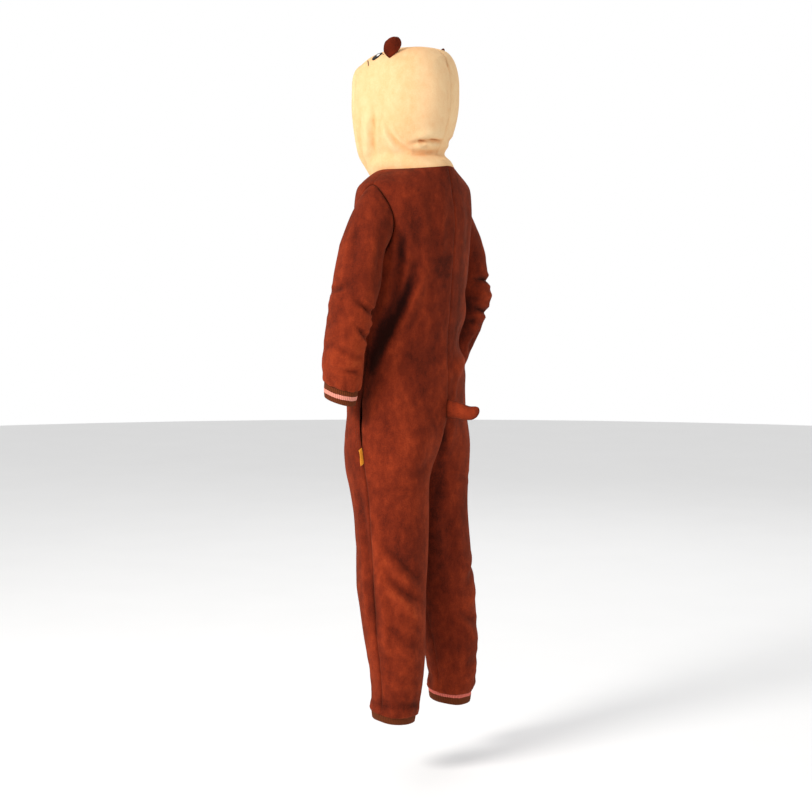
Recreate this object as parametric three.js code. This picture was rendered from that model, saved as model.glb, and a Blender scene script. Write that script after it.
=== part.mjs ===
// Otter onesie, as worn: a hooded one-piece suit of brown pile fleece, with a pale hood, two ears, a short
// stuffed tail, striped rib cuffs and a buttoned front. Millimetres, +Z up, the wearer faces -Y and the
// wearer's left is +X. Heights are counted from the floor under the wearer, and the last group then moves
// the origin to the place between the shoulders where the wearer carries the suit.
import * as THREE from "three";

const v3 = (x, y, z) => new THREE.Vector3(x, y, z);

// Cloth and seams
const CLOTH = 2.5;
const RIB = 2;
const RIBBON = 1;
const SEAM_GAP = 0.3;
const CARRIED_AT = 1400;

// How full the sections are: 2 is an ellipse, and more is squarer
const BODY_FULLNESS = 2.15;
const CROWN_FULLNESS = 3;

// Where the seat closes between the legs
const CROTCH_HEIGHT = 690;
const SEAT_DEPTH = 175;
const SEAT_CURVE = 1.25;

// Rows of the body table that bound its zones
const SHOULDER_ROW = 4;
const ARMPIT_ROW = 9;
const CROTCH_ROW = 16;

// Half of the body and one leg, neck seam to leg hem. height is at the side or shoulder seam, dropBack and
// dropFront are how much lower the middle of the back and front lie in that row, side and gap are the outer
// and inner half widths, middle is where the side seam runs, and back and front are depths from there.
const BODY = [
  { height: 1451, dropBack: -8, dropFront: 50, side: 90, gap: 0, middle: 15, back: 108, front: 92, tilt: 0 },
  { height: 1446, dropBack: 6, dropFront: 58, side: 110, gap: 0, middle: 17, back: 110, front: 99, tilt: 0 },
  { height: 1438, dropBack: 20, dropFront: 60, side: 130, gap: 0, middle: 19, back: 112, front: 105, tilt: 0 },
  { height: 1427, dropBack: 30, dropFront: 58, side: 149, gap: 0, middle: 20, back: 115, front: 110, tilt: 0 },
  { height: 1413, dropBack: 40, dropFront: 52, side: 165, gap: 0, middle: 20, back: 118, front: 114, tilt: 0 },
  { height: 1382, dropBack: 37, dropFront: 43, side: 170, gap: 0, middle: 20, back: 121, front: 117, tilt: 0 },
  { height: 1346, dropBack: 29, dropFront: 32, side: 169, gap: 0, middle: 20, back: 122, front: 118, tilt: 0 },
  { height: 1306, dropBack: 19, dropFront: 20, side: 165, gap: 0, middle: 19, back: 121, front: 118, tilt: 0 },
  { height: 1265, dropBack: 9, dropFront: 9, side: 161, gap: 0, middle: 18, back: 120, front: 117, tilt: 0 },
  { height: 1225, dropBack: 0, dropFront: 0, side: 157, gap: 0, middle: 17, back: 119, front: 116, tilt: 0 },
  { height: 1150, dropBack: 0, dropFront: 0, side: 156, gap: 0, middle: 12, back: 119, front: 112, tilt: 0 },
  { height: 1070, dropBack: 0, dropFront: 0, side: 160, gap: 0, middle: 5, back: 121, front: 106, tilt: 0 },
  { height: 990, dropBack: 0, dropFront: 0, side: 169, gap: 0, middle: -2, back: 125, front: 104, tilt: 0 },
  { height: 910, dropBack: 0, dropFront: 0, side: 179, gap: 0, middle: -5, back: 129, front: 108, tilt: 0 },
  { height: 830, dropBack: 0, dropFront: 0, side: 182, gap: 0, middle: -3, back: 126, front: 105, tilt: 0 },
  { height: 745, dropBack: 0, dropFront: 0, side: 177, gap: 0, middle: 2, back: 111, front: 99, tilt: 0 },
  { height: 690, dropBack: 0, dropFront: 0, side: 172, gap: 0, middle: 8, back: 100, front: 94, tilt: 0 },
  { height: 620, dropBack: 0, dropFront: 0, side: 171, gap: 3, middle: 14, back: 93, front: 87, tilt: 0 },
  { height: 530, dropBack: 0, dropFront: 0, side: 176, gap: 10, middle: 22, back: 88, front: 83, tilt: 0 },
  { height: 445, dropBack: 0, dropFront: 0, side: 182, gap: 22, middle: 30, back: 83, front: 79, tilt: 0 },
  { height: 360, dropBack: 0, dropFront: 0, side: 185, gap: 36, middle: 40, back: 78, front: 72, tilt: 0 },
  { height: 280, dropBack: 0, dropFront: 0, side: 182, gap: 50, middle: 50, back: 70, front: 63, tilt: 0.05 },
  { height: 217, dropBack: 0, dropFront: 0, side: 178, gap: 62, middle: 53, back: 62, front: 56, tilt: 0.1 },
  { height: 192, dropBack: 0, dropFront: 0, side: 178, gap: 66, middle: 51, back: 61, front: 56, tilt: 0.12 },
  { height: 178, dropBack: 0, dropFront: 0, side: 177, gap: 67, middle: 49, back: 57, front: 55, tilt: 0.14 },
  { height: 174, dropBack: 0, dropFront: 0, side: 174, gap: 70, middle: 48, back: 52, front: 51, tilt: 0.14 },
];

// Armhole: how far its edge stands behind and in front of the side line
const ARMHOLE_BACK = 54;
const ARMHOLE_FRONT = 50;

// The sleeve's rings from the upper arm to the turned-in end: centre, then half width across the arm and
// half depth from front to back
const SLEEVE = [
  { x: 210, y: 18, height: 1250, across: 42, depth: 57, tilt: 0 },
  { x: 220, y: 16, height: 1194, across: 48, depth: 59, tilt: 0 },
  { x: 236, y: 15, height: 1142, across: 51, depth: 56, tilt: 0.05 },
  { x: 245, y: 12, height: 1112, across: 49, depth: 52, tilt: 0.1 },
  { x: 245, y: 4, height: 1072, across: 48, depth: 52, tilt: 0.15 },
  { x: 242, y: -7, height: 1030, across: 47, depth: 50, tilt: 0.2 },
  { x: 239, y: -14, height: 990, across: 47, depth: 50, tilt: 0.25 },
  { x: 237, y: -17, height: 962, across: 45, depth: 48, tilt: 0.28 },
  { x: 236, y: -19, height: 947, across: 42, depth: 45, tilt: 0.3 },
  { x: 236, y: -20, height: 943, across: 37, depth: 40, tilt: 0.3 },
];

// Rib cuffs
const SLEEVE_CUFF = { length: 34, acrossEnd: 34, depthEnd: 37, shiftX: -1, shiftY: -4 };
const LEG_CUFF = { length: 34, taper: 2 };

// The hood below the crown: side is its half width, back its depth behind the middle, and edgeX and edgeY
// are where the face opening's edge lies in that row
const HOOD = [
  { height: 1451, dropBack: -8, dropFront: 50, side: 90, middle: 15, back: 108, edgeX: 0, edgeY: -77 },
  { height: 1468, dropBack: -6, dropFront: 46, side: 91, middle: 13, back: 98, edgeX: 30, edgeY: -82 },
  { height: 1488, dropBack: 0, dropFront: 40, side: 86, middle: 10, back: 80, edgeX: 48, edgeY: -88 },
  { height: 1514, dropBack: 4, dropFront: 34, side: 94, middle: 9, back: 93, edgeX: 62, edgeY: -94 },
  { height: 1552, dropBack: 2, dropFront: 28, side: 103, middle: 8, back: 111, edgeX: 73, edgeY: -98 },
  { height: 1600, dropBack: 0, dropFront: 18, side: 108, middle: 7, back: 123, edgeX: 80, edgeY: -101 },
  { height: 1650, dropBack: 0, dropFront: 8, side: 108, middle: 5, back: 127, edgeX: 80, edgeY: -101 },
];

// The crown's ridge from the face opening to the back, where the two sides of the hood meet
const CROWN = [
  { y: -101, height: 1704 },
  { y: -55, height: 1726 },
  { y: -5, height: 1738 },
  { y: 55, height: 1741 },
  { y: 92, height: 1734 },
  { y: 114, height: 1718 },
  { y: 124, height: 1698 },
];
const CROWN_BACK = 124;

// Over how many rows the hood's front edge turns from the neck seam's dip into a straight edge
const HOOD_SAG_ROWS = 4;

// Folds: a path of points on the cloth, how wide and how deep. A depth below nought is a trough.
const BODY_FOLDS = [
  { path: [[110, 112, 1190], [138, 76, 1090], [170, 18, 1000]], width: 20, depth: -13 },
  { path: [[140, 84, 1262], [133, 88, 1195], [150, 56, 1097]], width: 15, depth: -8 },
  { path: [[92, 120, 1150], [118, 100, 1050], [140, 84, 990]], width: 22, depth: 6 },
  { path: [[0, 128, 1030], [90, 108, 1000], [150, 66, 968]], width: 34, depth: -7 },
  { path: [[-40, 128, 1060], [-100, 92, 1035], [-150, 40, 1020]], width: 46, depth: -16 },
  { path: [[-10, 126, 960], [-60, 118, 985], [-120, 80, 1000]], width: 20, depth: 9 },
  { path: [[60, 116, 860], [110, 96, 800], [120, 84, 740]], width: 45, depth: 6 },
  { path: [[176, -24, 700], [186, -10, 560], [186, 6, 430], [184, 10, 300]], width: 15, depth: -6 },
  { path: [[182, 40, 560], [150, 82, 500], [110, 100, 470]], width: 20, depth: 5 },
  { path: [[176, 60, 470], [140, 92, 430], [104, 104, 420]], width: 18, depth: -6 },
  { path: [[178, 50, 400], [140, 96, 350], [110, 108, 330]], width: 20, depth: 5 },
  { path: [[176, 70, 300], [130, 112, 262], [96, 96, 250]], width: 16, depth: -5 },
  { path: [[178, 60, 168], [126, 108, 160], [80, 80, 166]], width: 10, depth: -4 },
  { path: [[-176, -20, 640], [-184, 0, 500], [-186, 14, 380]], width: 16, depth: -6 },
  { path: [[-170, 60, 500], [-130, 96, 460], [-96, 98, 440]], width: 20, depth: -6 },
  { path: [[-176, 64, 320], [-130, 108, 290], [-90, 96, 276]], width: 18, depth: -5 },
  { path: [[-60, -98, 1150], [-110, -76, 1060], [-150, -40, 1010]], width: 20, depth: -8 },
  { path: [[60, -98, 1150], [110, -76, 1060], [150, -40, 1010]], width: 20, depth: -8 },
  { path: [[110, -92, 560], [140, -62, 470], [120, -70, 400]], width: 26, depth: 6 },
  { path: [[-110, -92, 560], [-140, -62, 470], [-120, -70, 400]], width: 26, depth: 6 },
];
const SLEEVE_FOLDS = [
  { path: [[206, 40, 1124], [226, 66, 1118], [256, 66, 1112]], width: 9, depth: -9 },
  { path: [[266, -30, 1168], [282, -8, 1172], [284, 20, 1176], [276, 44, 1182]], width: 9, depth: -8 },
  { path: [[206, 20, 1090], [226, 52, 1096], [262, 60, 1080]], width: 8, depth: 5 },
  { path: [[296, 20, 1050], [298, -16, 1040], [280, -40, 1036]], width: 10, depth: -5 },
  { path: [[200, 10, 1060], [216, 40, 1056], [250, 52, 1046]], width: 10, depth: -6 },
  { path: [[280, 10, 990], [286, -22, 984], [270, -54, 980]], width: 12, depth: -5 },
  { path: [[210, 60, 1330], [240, 66, 1250], [262, 60, 1180]], width: 24, depth: 4 },
  { path: [[216, 20, 946], [244, 26, 942], [276, 0, 940]], width: 7, depth: -4 },
  { path: [[-212, 60, 1212], [-240, 78, 1204], [-270, 60, 1196]], width: 12, depth: -7 },
  { path: [[-206, 40, 1132], [-234, 66, 1120], [-264, 62, 1112]], width: 10, depth: -8 },
  { path: [[-206, 20, 1092], [-232, 46, 1088], [-268, 40, 1074]], width: 9, depth: 5 },
  { path: [[-300, 20, 1140], [-304, -14, 1134], [-292, -44, 1130]], width: 11, depth: -6 },
  { path: [[-206, 0, 1052], [-236, 24, 1046], [-272, 10, 1036]], width: 11, depth: -5 },
  { path: [[-284, -20, 990], [-294, -52, 984], [-278, -84, 978]], width: 12, depth: -5 },
];
const HOOD_FOLDS = [
  { path: [[96, 22, 1536], [88, 42, 1512], [76, 58, 1484]], width: 9, depth: -8 },
  { path: [[70, 62, 1502], [40, 84, 1500], [6, 98, 1498]], width: 9, depth: -6 },
  { path: [[96, -44, 1556], [90, -40, 1500], [84, -34, 1470]], width: 12, depth: -5 },
  { path: [[100, -16, 1570], [94, -10, 1510], [88, -6, 1480]], width: 12, depth: 4 },
  { path: [[-96, 22, 1536], [-88, 42, 1512], [-76, 58, 1484]], width: 10, depth: -6 },
  { path: [[-96, -44, 1556], [-90, -40, 1500], [-84, -34, 1470]], width: 12, depth: -5 },
];

// Ears, face, tail, front and label. SEAT is the clearance of what lies on the cloth.
const SEAT = 0.6;
const EAR_WIDTH = v3(34, -24, -16).normalize();
const LEFT_EAR = { x: 88, y: 26, way: v3(26, 12, 40).normalize() };
const RIGHT_EAR = { x: 92, y: 22, way: v3(38, 6, 36).normalize() };
const EAR_OUTLINE = [
  { up: 0, wide: 22, thick: 10 },
  { up: 8, wide: 38, thick: 14 },
  { up: 18, wide: 47, thick: 15 },
  { up: 29, wide: 45, thick: 13 },
  { up: 38, wide: 35, thick: 10 },
  { up: 42, wide: 18, thick: 6 },
];
const EYE = { x: 84, y: -24, halfX: 10, halfY: 12, slant: -2, lift: SEAT, thick: 1.4 };
const EYE_LIGHT = { x: 86, y: -18, halfX: 3.5, halfY: 4, slant: 0, lift: 2 * SEAT + 1.4, thick: 1 };
const NOSE = { y: -88, halfX: 15, halfY: 10, thick: 6 };
const TAIL = { height: 880, rootY: 122 };
const TAIL_RINGS = [
  { out: 0, up: 0, tall: 46, wide: 13 },
  { out: 10, up: 0, tall: 45, wide: 17 },
  { out: 34, up: -4, tall: 39, wide: 22 },
  { out: 62, up: -8, tall: 34, wide: 22 },
  { out: 80, up: -5, tall: 28, wide: 17 },
  { out: 88, up: -2, tall: 17, wide: 8 },
];
const PLACKET = { half: 17, thick: 2, topRow: 0.5, bottomRow: 13.5 };
const SLOPE_STEP = 0.15;
const BUTTON = { radius: 10, thick: 3.6, rim: 1.2, top: 1350, bottom: 946, count: 6, seat: 0.35 };
const POCKET = { topRow: 12.8, bottomRow: 14.55, mouth: 0.016 };
const LABEL = { topRow: 14.42, bottomRow: 14.86, out: 12, droop: 5, sway: -3 };
const RIGHT_FOREARM = v3(-14, -29, 0);
const RIGHT_ELBOW = { out: 11, back: 6, fromRow: -0.6, rows: 4.4 };
const SLEEVE_LEAN = 0.8;
const CAP_BEND = { along: 0.35, out: 8, up: 16, underOut: 7, underUp: 8 };
const FRONT_SPREAD = 0.64;

// How finely the pieces are cut up
const BODY_COLUMNS = 9;
const BODY_ROWS = [
  0, 1, 2, 3, 4, 4.5, 5, 5.5, 6, 6.5, 7, 7.5, 8, 8.5, 9, 9.6, 10.2, 10.8, 11.4, 12, 12.4, 12.8, 13.2, 13.65,
  14.1, 14.55, 15, 15.4, 15.8, 16, 16.6, 17.3, 18, 18.6, 19.2, 19.8, 20.4, 21, 21.6, 22.2, 22.8, 23.3, 24, 25,
];
const SLEEVE_ROWS = [0, 0.5, 1, 1.5, 2, 2.5, 3, 3.5, 4, 4.5, 5, 5.5, 6, 6.5, 7, 8, 9];
const HOOD_ROWS = [0, 0.5, 1, 1.5, 2, 2.5, 3, 3.5, 4, 5, 6];
const HOOD_COLUMNS = 17;
const CROWN_STEPS = 6;
const CROWN_TOP = HOOD.length - 1 + CROWN_STEPS;
const CAP_ROWS = 4;
const SLEEVE_SEGMENTS = 20;
const CUFF_ROWS = 2;
const CUFF_SEGMENTS = 20;
const EAR_SEGMENTS = 12;
const TAIL_SEGMENTS = 12;
const PATCH_POINTS = 5;
const PLACKET_COLUMNS = 3;
const BUTTON_SEGMENTS = 12;
const LABEL_POINTS = 3;

const COLOURS = {
  fleece: { color: 0x7c2f17, roughness: 0.95 },
  hood: { color: 0xf7d7a0, roughness: 0.95 },
  rib: { color: 0x6a2e16, roughness: 0.9 },
  black: { color: 0x15110f, roughness: 0.6 },
  button: { color: 0x4a2010, roughness: 0.4 },
  label: { color: 0xf29a1c, roughness: 0.8 },
  white: { color: 0xe8e4dc, roughness: 0.5 },
};

const clamp = (x, low, high) => Math.min(high, Math.max(low, x));
const smooth = (x) => {
  const t = clamp(x, 0, 1);
  return t * t * (3 - 2 * t);
};
const power = (x, fullness) => Math.sign(x) * Math.abs(x) ** (2 / fullness);

// One column of a table at a place counted in rows, on a smooth curve through the rows
function at(table, name, place) {
  const last = table.length - 1;
  const i = clamp(Math.floor(place), 0, last - 1);
  const f = place - i;
  const value = (k) => table[clamp(k, 0, last)][name];
  const [a, b, c, d] = [value(i - 1), value(i), value(i + 1), value(i + 2)];
  return b + 0.5 * f * (c - a + f * (2 * a - 5 * b + 4 * c - d + f * (3 * (b - c) + d - a)));
}

// How far a list of folds moves a point of the cloth
function foldDepth(folds, p) {
  let depth = 0;
  for (const fold of folds) {
    let nearest = Infinity;
    for (let k = 1; k < fold.path.length; k++) {
      const line = new THREE.Line3(v3(...fold.path[k - 1]), v3(...fold.path[k]));
      nearest = Math.min(nearest, line.closestPointToPoint(p, true, v3()).distanceTo(p));
    }
    depth += fold.depth * Math.exp(-((nearest / fold.width) ** 2));
  }
  return depth;
}

// The body's left half at a row and a place along it: 0 is the side or shoulder seam, 1 the middle of the
// back or the inseam, and -1 the middle of the front or the inseam
function bodyPoint(row, along) {
  const height = at(BODY, "height", row);
  const side = at(BODY, "side", row);
  const middle = at(BODY, "middle", row);
  const below = row > CROTCH_ROW;
  const share = below ? 1 : clamp(1 - (height - CROTCH_HEIGHT) / SEAT_DEPTH, 0, 1);
  const end = (Math.PI / 2) * (1 + share ** SEAT_CURVE);
  const closed = Math.max(0, -Math.cos(end)) ** (2 / BODY_FULLNESS);
  const gap = below ? Math.max(0, at(BODY, "gap", row)) : 0;
  const half = below ? (side - gap) / 2 : side / (1 + closed);
  const centre = side - half;
  const angle = end * Math.abs(along);
  const depth = along > 0 ? at(BODY, "back", row) : -at(BODY, "front", row);
  const drop = at(BODY, along > 0 ? "dropBack" : "dropFront", row);
  const x = centre + half * power(Math.cos(angle), BODY_FULLNESS);
  const y = middle + depth * power(Math.sin(angle), BODY_FULLNESS);
  const z = height - drop * (1 - Math.cos(angle)) - at(BODY, "tilt", row) * (y - middle);
  return v3(Math.max(0, x), y, z);
}

// Where along a row the armhole's edge lies: nought outside the armhole
function armholeAlong(row, reach, depthName) {
  if (row <= SHOULDER_ROW || row >= ARMPIT_ROW) return 0;
  const phase = (row - SHOULDER_ROW) / (ARMPIT_ROW - SHOULDER_ROW);
  const out = reach * Math.sin(Math.PI * phase) ** 0.75;
  const sine = (out / at(BODY, depthName, row)) ** (BODY_FULLNESS / 2);
  return Math.asin(sine) / (Math.PI / 2);
}

// The hood's left half: rows above the table climb the crown, and the last one is its ridge. along is -1 at
// the face opening and 1 at the middle of the back.
function hoodPoint(row, along) {
  const last = HOOD.length - 1;
  const base = Math.min(row, last);
  const climb = (clamp((row - last) / CROWN_STEPS, 0, 1) * Math.PI) / 2;
  const wide = at(HOOD, "side", base);
  const middle = at(HOOD, "middle", base);
  const edge = Math.acos(clamp(at(HOOD, "edgeX", base) / wide, 0, 1) ** (BODY_FULLNESS / 2));
  const angle = along > 0 ? (along * Math.PI) / 2 : along * edge;
  const swing = power(Math.sin(angle), BODY_FULLNESS);
  const back = at(HOOD, "back", base) + (CROWN_BACK - middle - at(HOOD, "back", base)) * Math.sin(climb);
  const front = (middle - at(HOOD, "edgeY", base)) / power(Math.sin(edge), BODY_FULLNESS);
  const y = middle + (along > 0 ? back : front) * swing;
  const x = wide * power(Math.cos(angle), BODY_FULLNESS) * power(Math.cos(climb), CROWN_FULLNESS);
  const sag = (Math.sin(angle) / Math.sin(edge)) ** 2;
  const round = 1 - Math.cos(angle);
  const share = along > 0 ? round : round + (sag - round) * smooth(row / HOOD_SAG_ROWS);
  const level = at(HOOD, "height", base) - share * at(HOOD, along > 0 ? "dropBack" : "dropFront", base);
  return v3(x, y, level + (crownHeight(y) - level) * power(Math.sin(climb), CROWN_FULLNESS));
}

// The crown's ridge height over a place y
function crownHeight(y) {
  let i = 1;
  while (i < CROWN.length - 1 && CROWN[i].y < y) i++;
  const share = (y - CROWN[i - 1].y) / (CROWN[i].y - CROWN[i - 1].y);
  return at(CROWN, "height", i - 1 + clamp(share, 0, 1));
}

// A grid of outer and inner points, one row after another
function clothGrid(rows, columns, outer, normal, thick) {
  return rows.map((row, i) =>
    columns.map((column, j) => {
      const p = outer(row, column, i, j);
      return { out: p, in: p.clone().addScaledVector(normal(row, column, i, j), -thick) };
    })
  );
}

// Moves the edge points of a grid towards their neighbours, so that pieces stand apart at their seams
function pullEdges(grid, ring) {
  const pull = (point, neighbour) => {
    for (const side of ["out", "in"]) {
      const way = neighbour[side].clone().sub(point[side]).normalize();
      point[side].addScaledVector(way, SEAM_GAP / 2);
    }
  };
  const last = grid.length - 1;
  const end = grid[0].length - 1;
  for (let j = 0; j <= end; j++) {
    pull(grid[0][j], grid[1][j]);
    pull(grid[last][j], grid[last - 1][j]);
  }
  if (ring) return grid;
  for (const row of grid) {
    pull(row[0], row[1]);
    pull(row[end], row[end - 1]);
  }
  return grid;
}

// One closed wall from a grid. A ring's last column joins its first. Across a rim each strip is split along
// its shorter diagonal, so that two pieces that meet there are split alike.
function wall(grid, ring) {
  const rows = grid.length;
  const columns = grid[0].length;
  const positions = [];
  for (const side of ["out", "in"]) {
    for (const row of grid) for (const point of row) positions.push(...point[side].toArray());
  }
  const inner = rows * columns;
  const id = (i, j) => i * columns + (j % columns);
  const index = [];
  const quad = (a, b, c, d) => index.push(a, b, c, a, c, d);
  const apart = (a, b) => {
    const [p, q] = [a, b].map((n) => v3().fromArray(positions, 3 * n));
    return p.distanceTo(q);
  };
  const rim = (a, b) => {
    if (apart(a, inner + b) < apart(b, inner + a)) index.push(a, b, inner + b, a, inner + b, inner + a);
    else index.push(a, b, inner + a, b, inner + b, inner + a);
  };
  const spans = ring ? columns : columns - 1;
  for (let i = 0; i < rows - 1; i++) {
    for (let j = 0; j < spans; j++) {
      const [a, b, c, d] = [id(i, j), id(i + 1, j), id(i + 1, j + 1), id(i, j + 1)];
      quad(a, b, c, d);
      quad(inner + a, inner + d, inner + c, inner + b);
    }
  }
  for (let j = 0; j < spans; j++) {
    const [a, b] = [id(0, j), id(0, j + 1)];
    const [c, d] = [id(rows - 1, j), id(rows - 1, j + 1)];
    rim(a, b);
    rim(d, c);
  }
  if (!ring) {
    for (let i = 0; i < rows - 1; i++) {
      const [a, b] = [id(i, 0), id(i + 1, 0)];
      const [c, d] = [id(i, columns - 1), id(i + 1, columns - 1)];
      rim(b, a);
      rim(c, d);
    }
  }
  const geometry = new THREE.BufferGeometry();
  geometry.setAttribute("position", new THREE.Float32BufferAttribute(positions, 3));
  geometry.setIndex(index);
  return facingOut(geometry);
}

// Turns a closed body's triangles round if they face inwards
function facingOut(geometry) {
  const points = geometry.getAttribute("position");
  const index = geometry.getIndex().array;
  let volume = 0;
  for (let k = 0; k < index.length; k += 3) {
    const [a, b, c] = [0, 1, 2].map((n) => v3().fromBufferAttribute(points, index[k + n]));
    volume += a.dot(b.cross(c));
  }
  if (volume < 0) {
    for (let k = 0; k < index.length; k += 3) [index[k], index[k + 1]] = [index[k + 1], index[k]];
  }
  geometry.computeVertexNormals();
  return geometry;
}

const steps = (count) => Array.from({ length: count }, (unused, k) => k / (count - 1));

// The outward normal of a surface function, away from the axis of the body or of the leg
function surfaceNormal(surface, row, along) {
  const step = 0.02;
  const down = surface(row + step, along).sub(surface(row - step, along));
  const round = surface(row, along + step).sub(surface(row, along - step));
  return down.cross(round).normalize();
}

// The body's normal. In the middle plane it has no outward sideways part, and at the inseam the back and the
// front share one.
function bodyNormal(row, along) {
  const place = clamp(row, 0.02, BODY.length - 1.02);
  const n = surfaceNormal(bodyPoint, place, along);
  if (Math.abs(along) < 0.999) return n;
  if (row >= CROTCH_ROW) n.add(surfaceNormal(bodyPoint, place, -along));
  n.x = Math.min(0, n.x);
  return n.normalize();
}

// The hood's rows climb and the body's go down, so its normal is turned round
function hoodNormal(row, along) {
  const n = surfaceNormal(hoodPoint, clamp(row, 0.02, CROWN_TOP - 0.02), clamp(along, -0.98, 1)).negate();
  if (row >= CROWN_TOP || along > 0.999) n.x = 0;
  return n.normalize();
}

// Where the hood and the body are sewn together their walls share one normal
function neckNormal(along) {
  return hoodNormal(0, along).add(bodyNormal(0, along)).normalize();
}

// Cloth of the left or right half with its folds, which fade out at the neck seam: mirror is 1 on the left
// and -1 on the right
function foldedPoint(base, normal, folds, mirror, row, along) {
  const p = base(row, along);
  const there = v3(mirror * p.x, p.y, p.z);
  p.addScaledVector(normal(row, along), foldDepth(folds, there) * smooth(row));
  p.x = Math.max(0, p.x);
  return p;
}

// How far the front's edge stands back from the side seam along the pocket
function pocketMouth(row) {
  const phase = clamp((row - POCKET.topRow) / (POCKET.bottomRow - POCKET.topRow), 0, 1);
  return POCKET.mouth * Math.sin(Math.PI * phase);
}

// One body panel. face is 1 for the back and -1 for the front.
function bodyPanel(face, mirror) {
  const place = (row, column) => {
    const name = face > 0 ? "back" : "front";
    const armhole = armholeAlong(row, face > 0 ? ARMHOLE_BACK : ARMHOLE_FRONT, name);
    const start = armhole + (face > 0 ? 0 : pocketMouth(row));
    return face * (start + (1 - start) * column);
  };
  const normalAt = (row, column) => {
    const along = place(row, column);
    if (row === 0) return neckNormal(along);
    if (column > 0 || row < SHOULDER_ROW || row > ARMPIT_ROW) return bodyNormal(row, along);
    const share = (row - SHOULDER_ROW) / (ARMPIT_ROW - SHOULDER_ROW) / 2;
    return armholeNormal(face > 0 ? share : 1 - share, mirror);
  };
  const pointAt = (row, column) =>
    foldedPoint(bodyPoint, bodyNormal, BODY_FOLDS, mirror, row, place(row, column));
  const grid = clothGrid(BODY_ROWS, steps(BODY_COLUMNS), pointAt, normalAt, CLOTH);
  return mirrored(wall(pullEdges(grid, false), false), mirror);
}

// One side of the hood, from the face opening over the side to the middle of the back and the crown
function hoodPanel(mirror) {
  const crownRows = steps(CROWN_STEPS + 1).slice(1).map((s) => HOOD.length - 1 + s * CROWN_STEPS);
  const rows = [...HOOD_ROWS, ...crownRows];
  const normalAt = (row, column) => {
    const along = 2 * column - 1;
    return row === 0 ? neckNormal(along) : hoodNormal(row, along);
  };
  const pointAt = (row, column) => {
    const p = foldedPoint(hoodPoint, hoodNormal, HOOD_FOLDS, mirror, row, 2 * column - 1);
    if (row >= CROWN_TOP) p.x = 0;
    return p;
  };
  const grid = clothGrid(rows, steps(HOOD_COLUMNS), pointAt, normalAt, CLOTH);
  return mirrored(wall(pullEdges(grid, false), false), mirror);
}

function mirrored(geometry, mirror) {
  if (mirror < 0) geometry.scale(-1, 1, 1);
  return facingOut(geometry);
}

// The armhole's edge at a place round the sleeve: 0 is the shoulder, 0.5 the armpit, going by the back
function armholePlace(round) {
  const turn = (round + 1) % 1;
  const toBack = turn <= 0.5;
  const share = toBack ? 2 * turn : 2 - 2 * turn;
  const row = SHOULDER_ROW + (ARMPIT_ROW - SHOULDER_ROW) * share;
  const along = armholeAlong(row, toBack ? ARMHOLE_BACK : ARMHOLE_FRONT, toBack ? "back" : "front");
  return [row, toBack ? along : -along];
}

// The right elbow stands out a little more, and the right forearm lies further in and forward
function sleeveShift(mirror, row) {
  if (mirror > 0) return v3(0, 0, 0);
  const share = smooth((row - 3) / 5);
  const phase = clamp((row - RIGHT_ELBOW.fromRow) / RIGHT_ELBOW.rows, 0, 1);
  const elbow = Math.sin(Math.PI * phase) ** 2;
  const x = RIGHT_FOREARM.x * share + RIGHT_ELBOW.out * elbow;
  return v3(x, RIGHT_FOREARM.y * share + RIGHT_ELBOW.back * elbow, 0);
}

// A ring of the sleeve: outward way and point at a place round it
function sleeveWay(round, row) {
  const angle = 2 * Math.PI * round;
  const lean = SLEEVE_LEAN * (1 - smooth(row / 2.5));
  return v3(Math.cos(angle), Math.sin(angle), Math.cos(angle) * lean);
}

function sleevePoint(row, round, mirror) {
  const way = sleeveWay(round, row);
  const centre = v3(at(SLEEVE, "x", row), at(SLEEVE, "y", row), at(SLEEVE, "height", row));
  const size = v3(at(SLEEVE, "across", row), at(SLEEVE, "depth", row), at(SLEEVE, "across", row));
  const p = centre.clone().add(way.multiply(size));
  p.z -= at(SLEEVE, "tilt", row) * (p.y - centre.y);
  return p.add(sleeveShift(mirror, row));
}

function sleeveNormal(row, round) {
  const angle = 2 * Math.PI * round;
  const across = Math.cos(angle) / at(SLEEVE, "across", row);
  const depth = Math.sin(angle) / at(SLEEVE, "depth", row);
  const turned = row > SLEEVE.length - 3 ? 1.2 * (row - SLEEVE.length + 3) : 0;
  const flat = v3(across, depth, 0).normalize();
  return v3(flat.x, flat.y, -turned).normalize();
}

// The sleeve's surface: its cap curves out from the armhole in rows -1 to 0, then come the rings
function sleeveSurface(row, round, mirror) {
  const end = sleevePoint(Math.max(0, row), round, mirror);
  if (row >= 0) return end;
  const start = foldedPoint(bodyPoint, bodyNormal, BODY_FOLDS, mirror, ...armholePlace(round));
  const t = row + 1;
  const high = (1 + Math.cos(2 * Math.PI * round)) / 2;
  const bend = start.clone().lerp(end, CAP_BEND.along);
  bend.x += CAP_BEND.out * high + CAP_BEND.underOut * (1 - high);
  bend.z += CAP_BEND.up * high + CAP_BEND.underUp * (1 - high);
  return start.multiplyScalar((1 - t) ** 2).addScaledVector(bend, 2 * t * (1 - t)).addScaledVector(end, t * t);
}

// The cap's normal leans over into the rings' normal
function sleeveSurfaceNormal(row, round, mirror) {
  const ring = sleeveNormal(Math.max(0, row), round);
  if (row >= 0) return ring;
  const surface = (r, q) => sleeveSurface(r, q, mirror);
  const n = surfaceNormal(surface, Math.max(row, -0.96), round);
  return n.lerp(ring, smooth((row + 0.4) / 0.4)).normalize();
}

// Where a sleeve is sewn into the armhole their walls share one normal
function armholeNormal(round, mirror) {
  const body = bodyNormal(...armholePlace(round));
  return body.add(sleeveSurfaceNormal(-1, round, mirror)).normalize();
}

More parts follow.
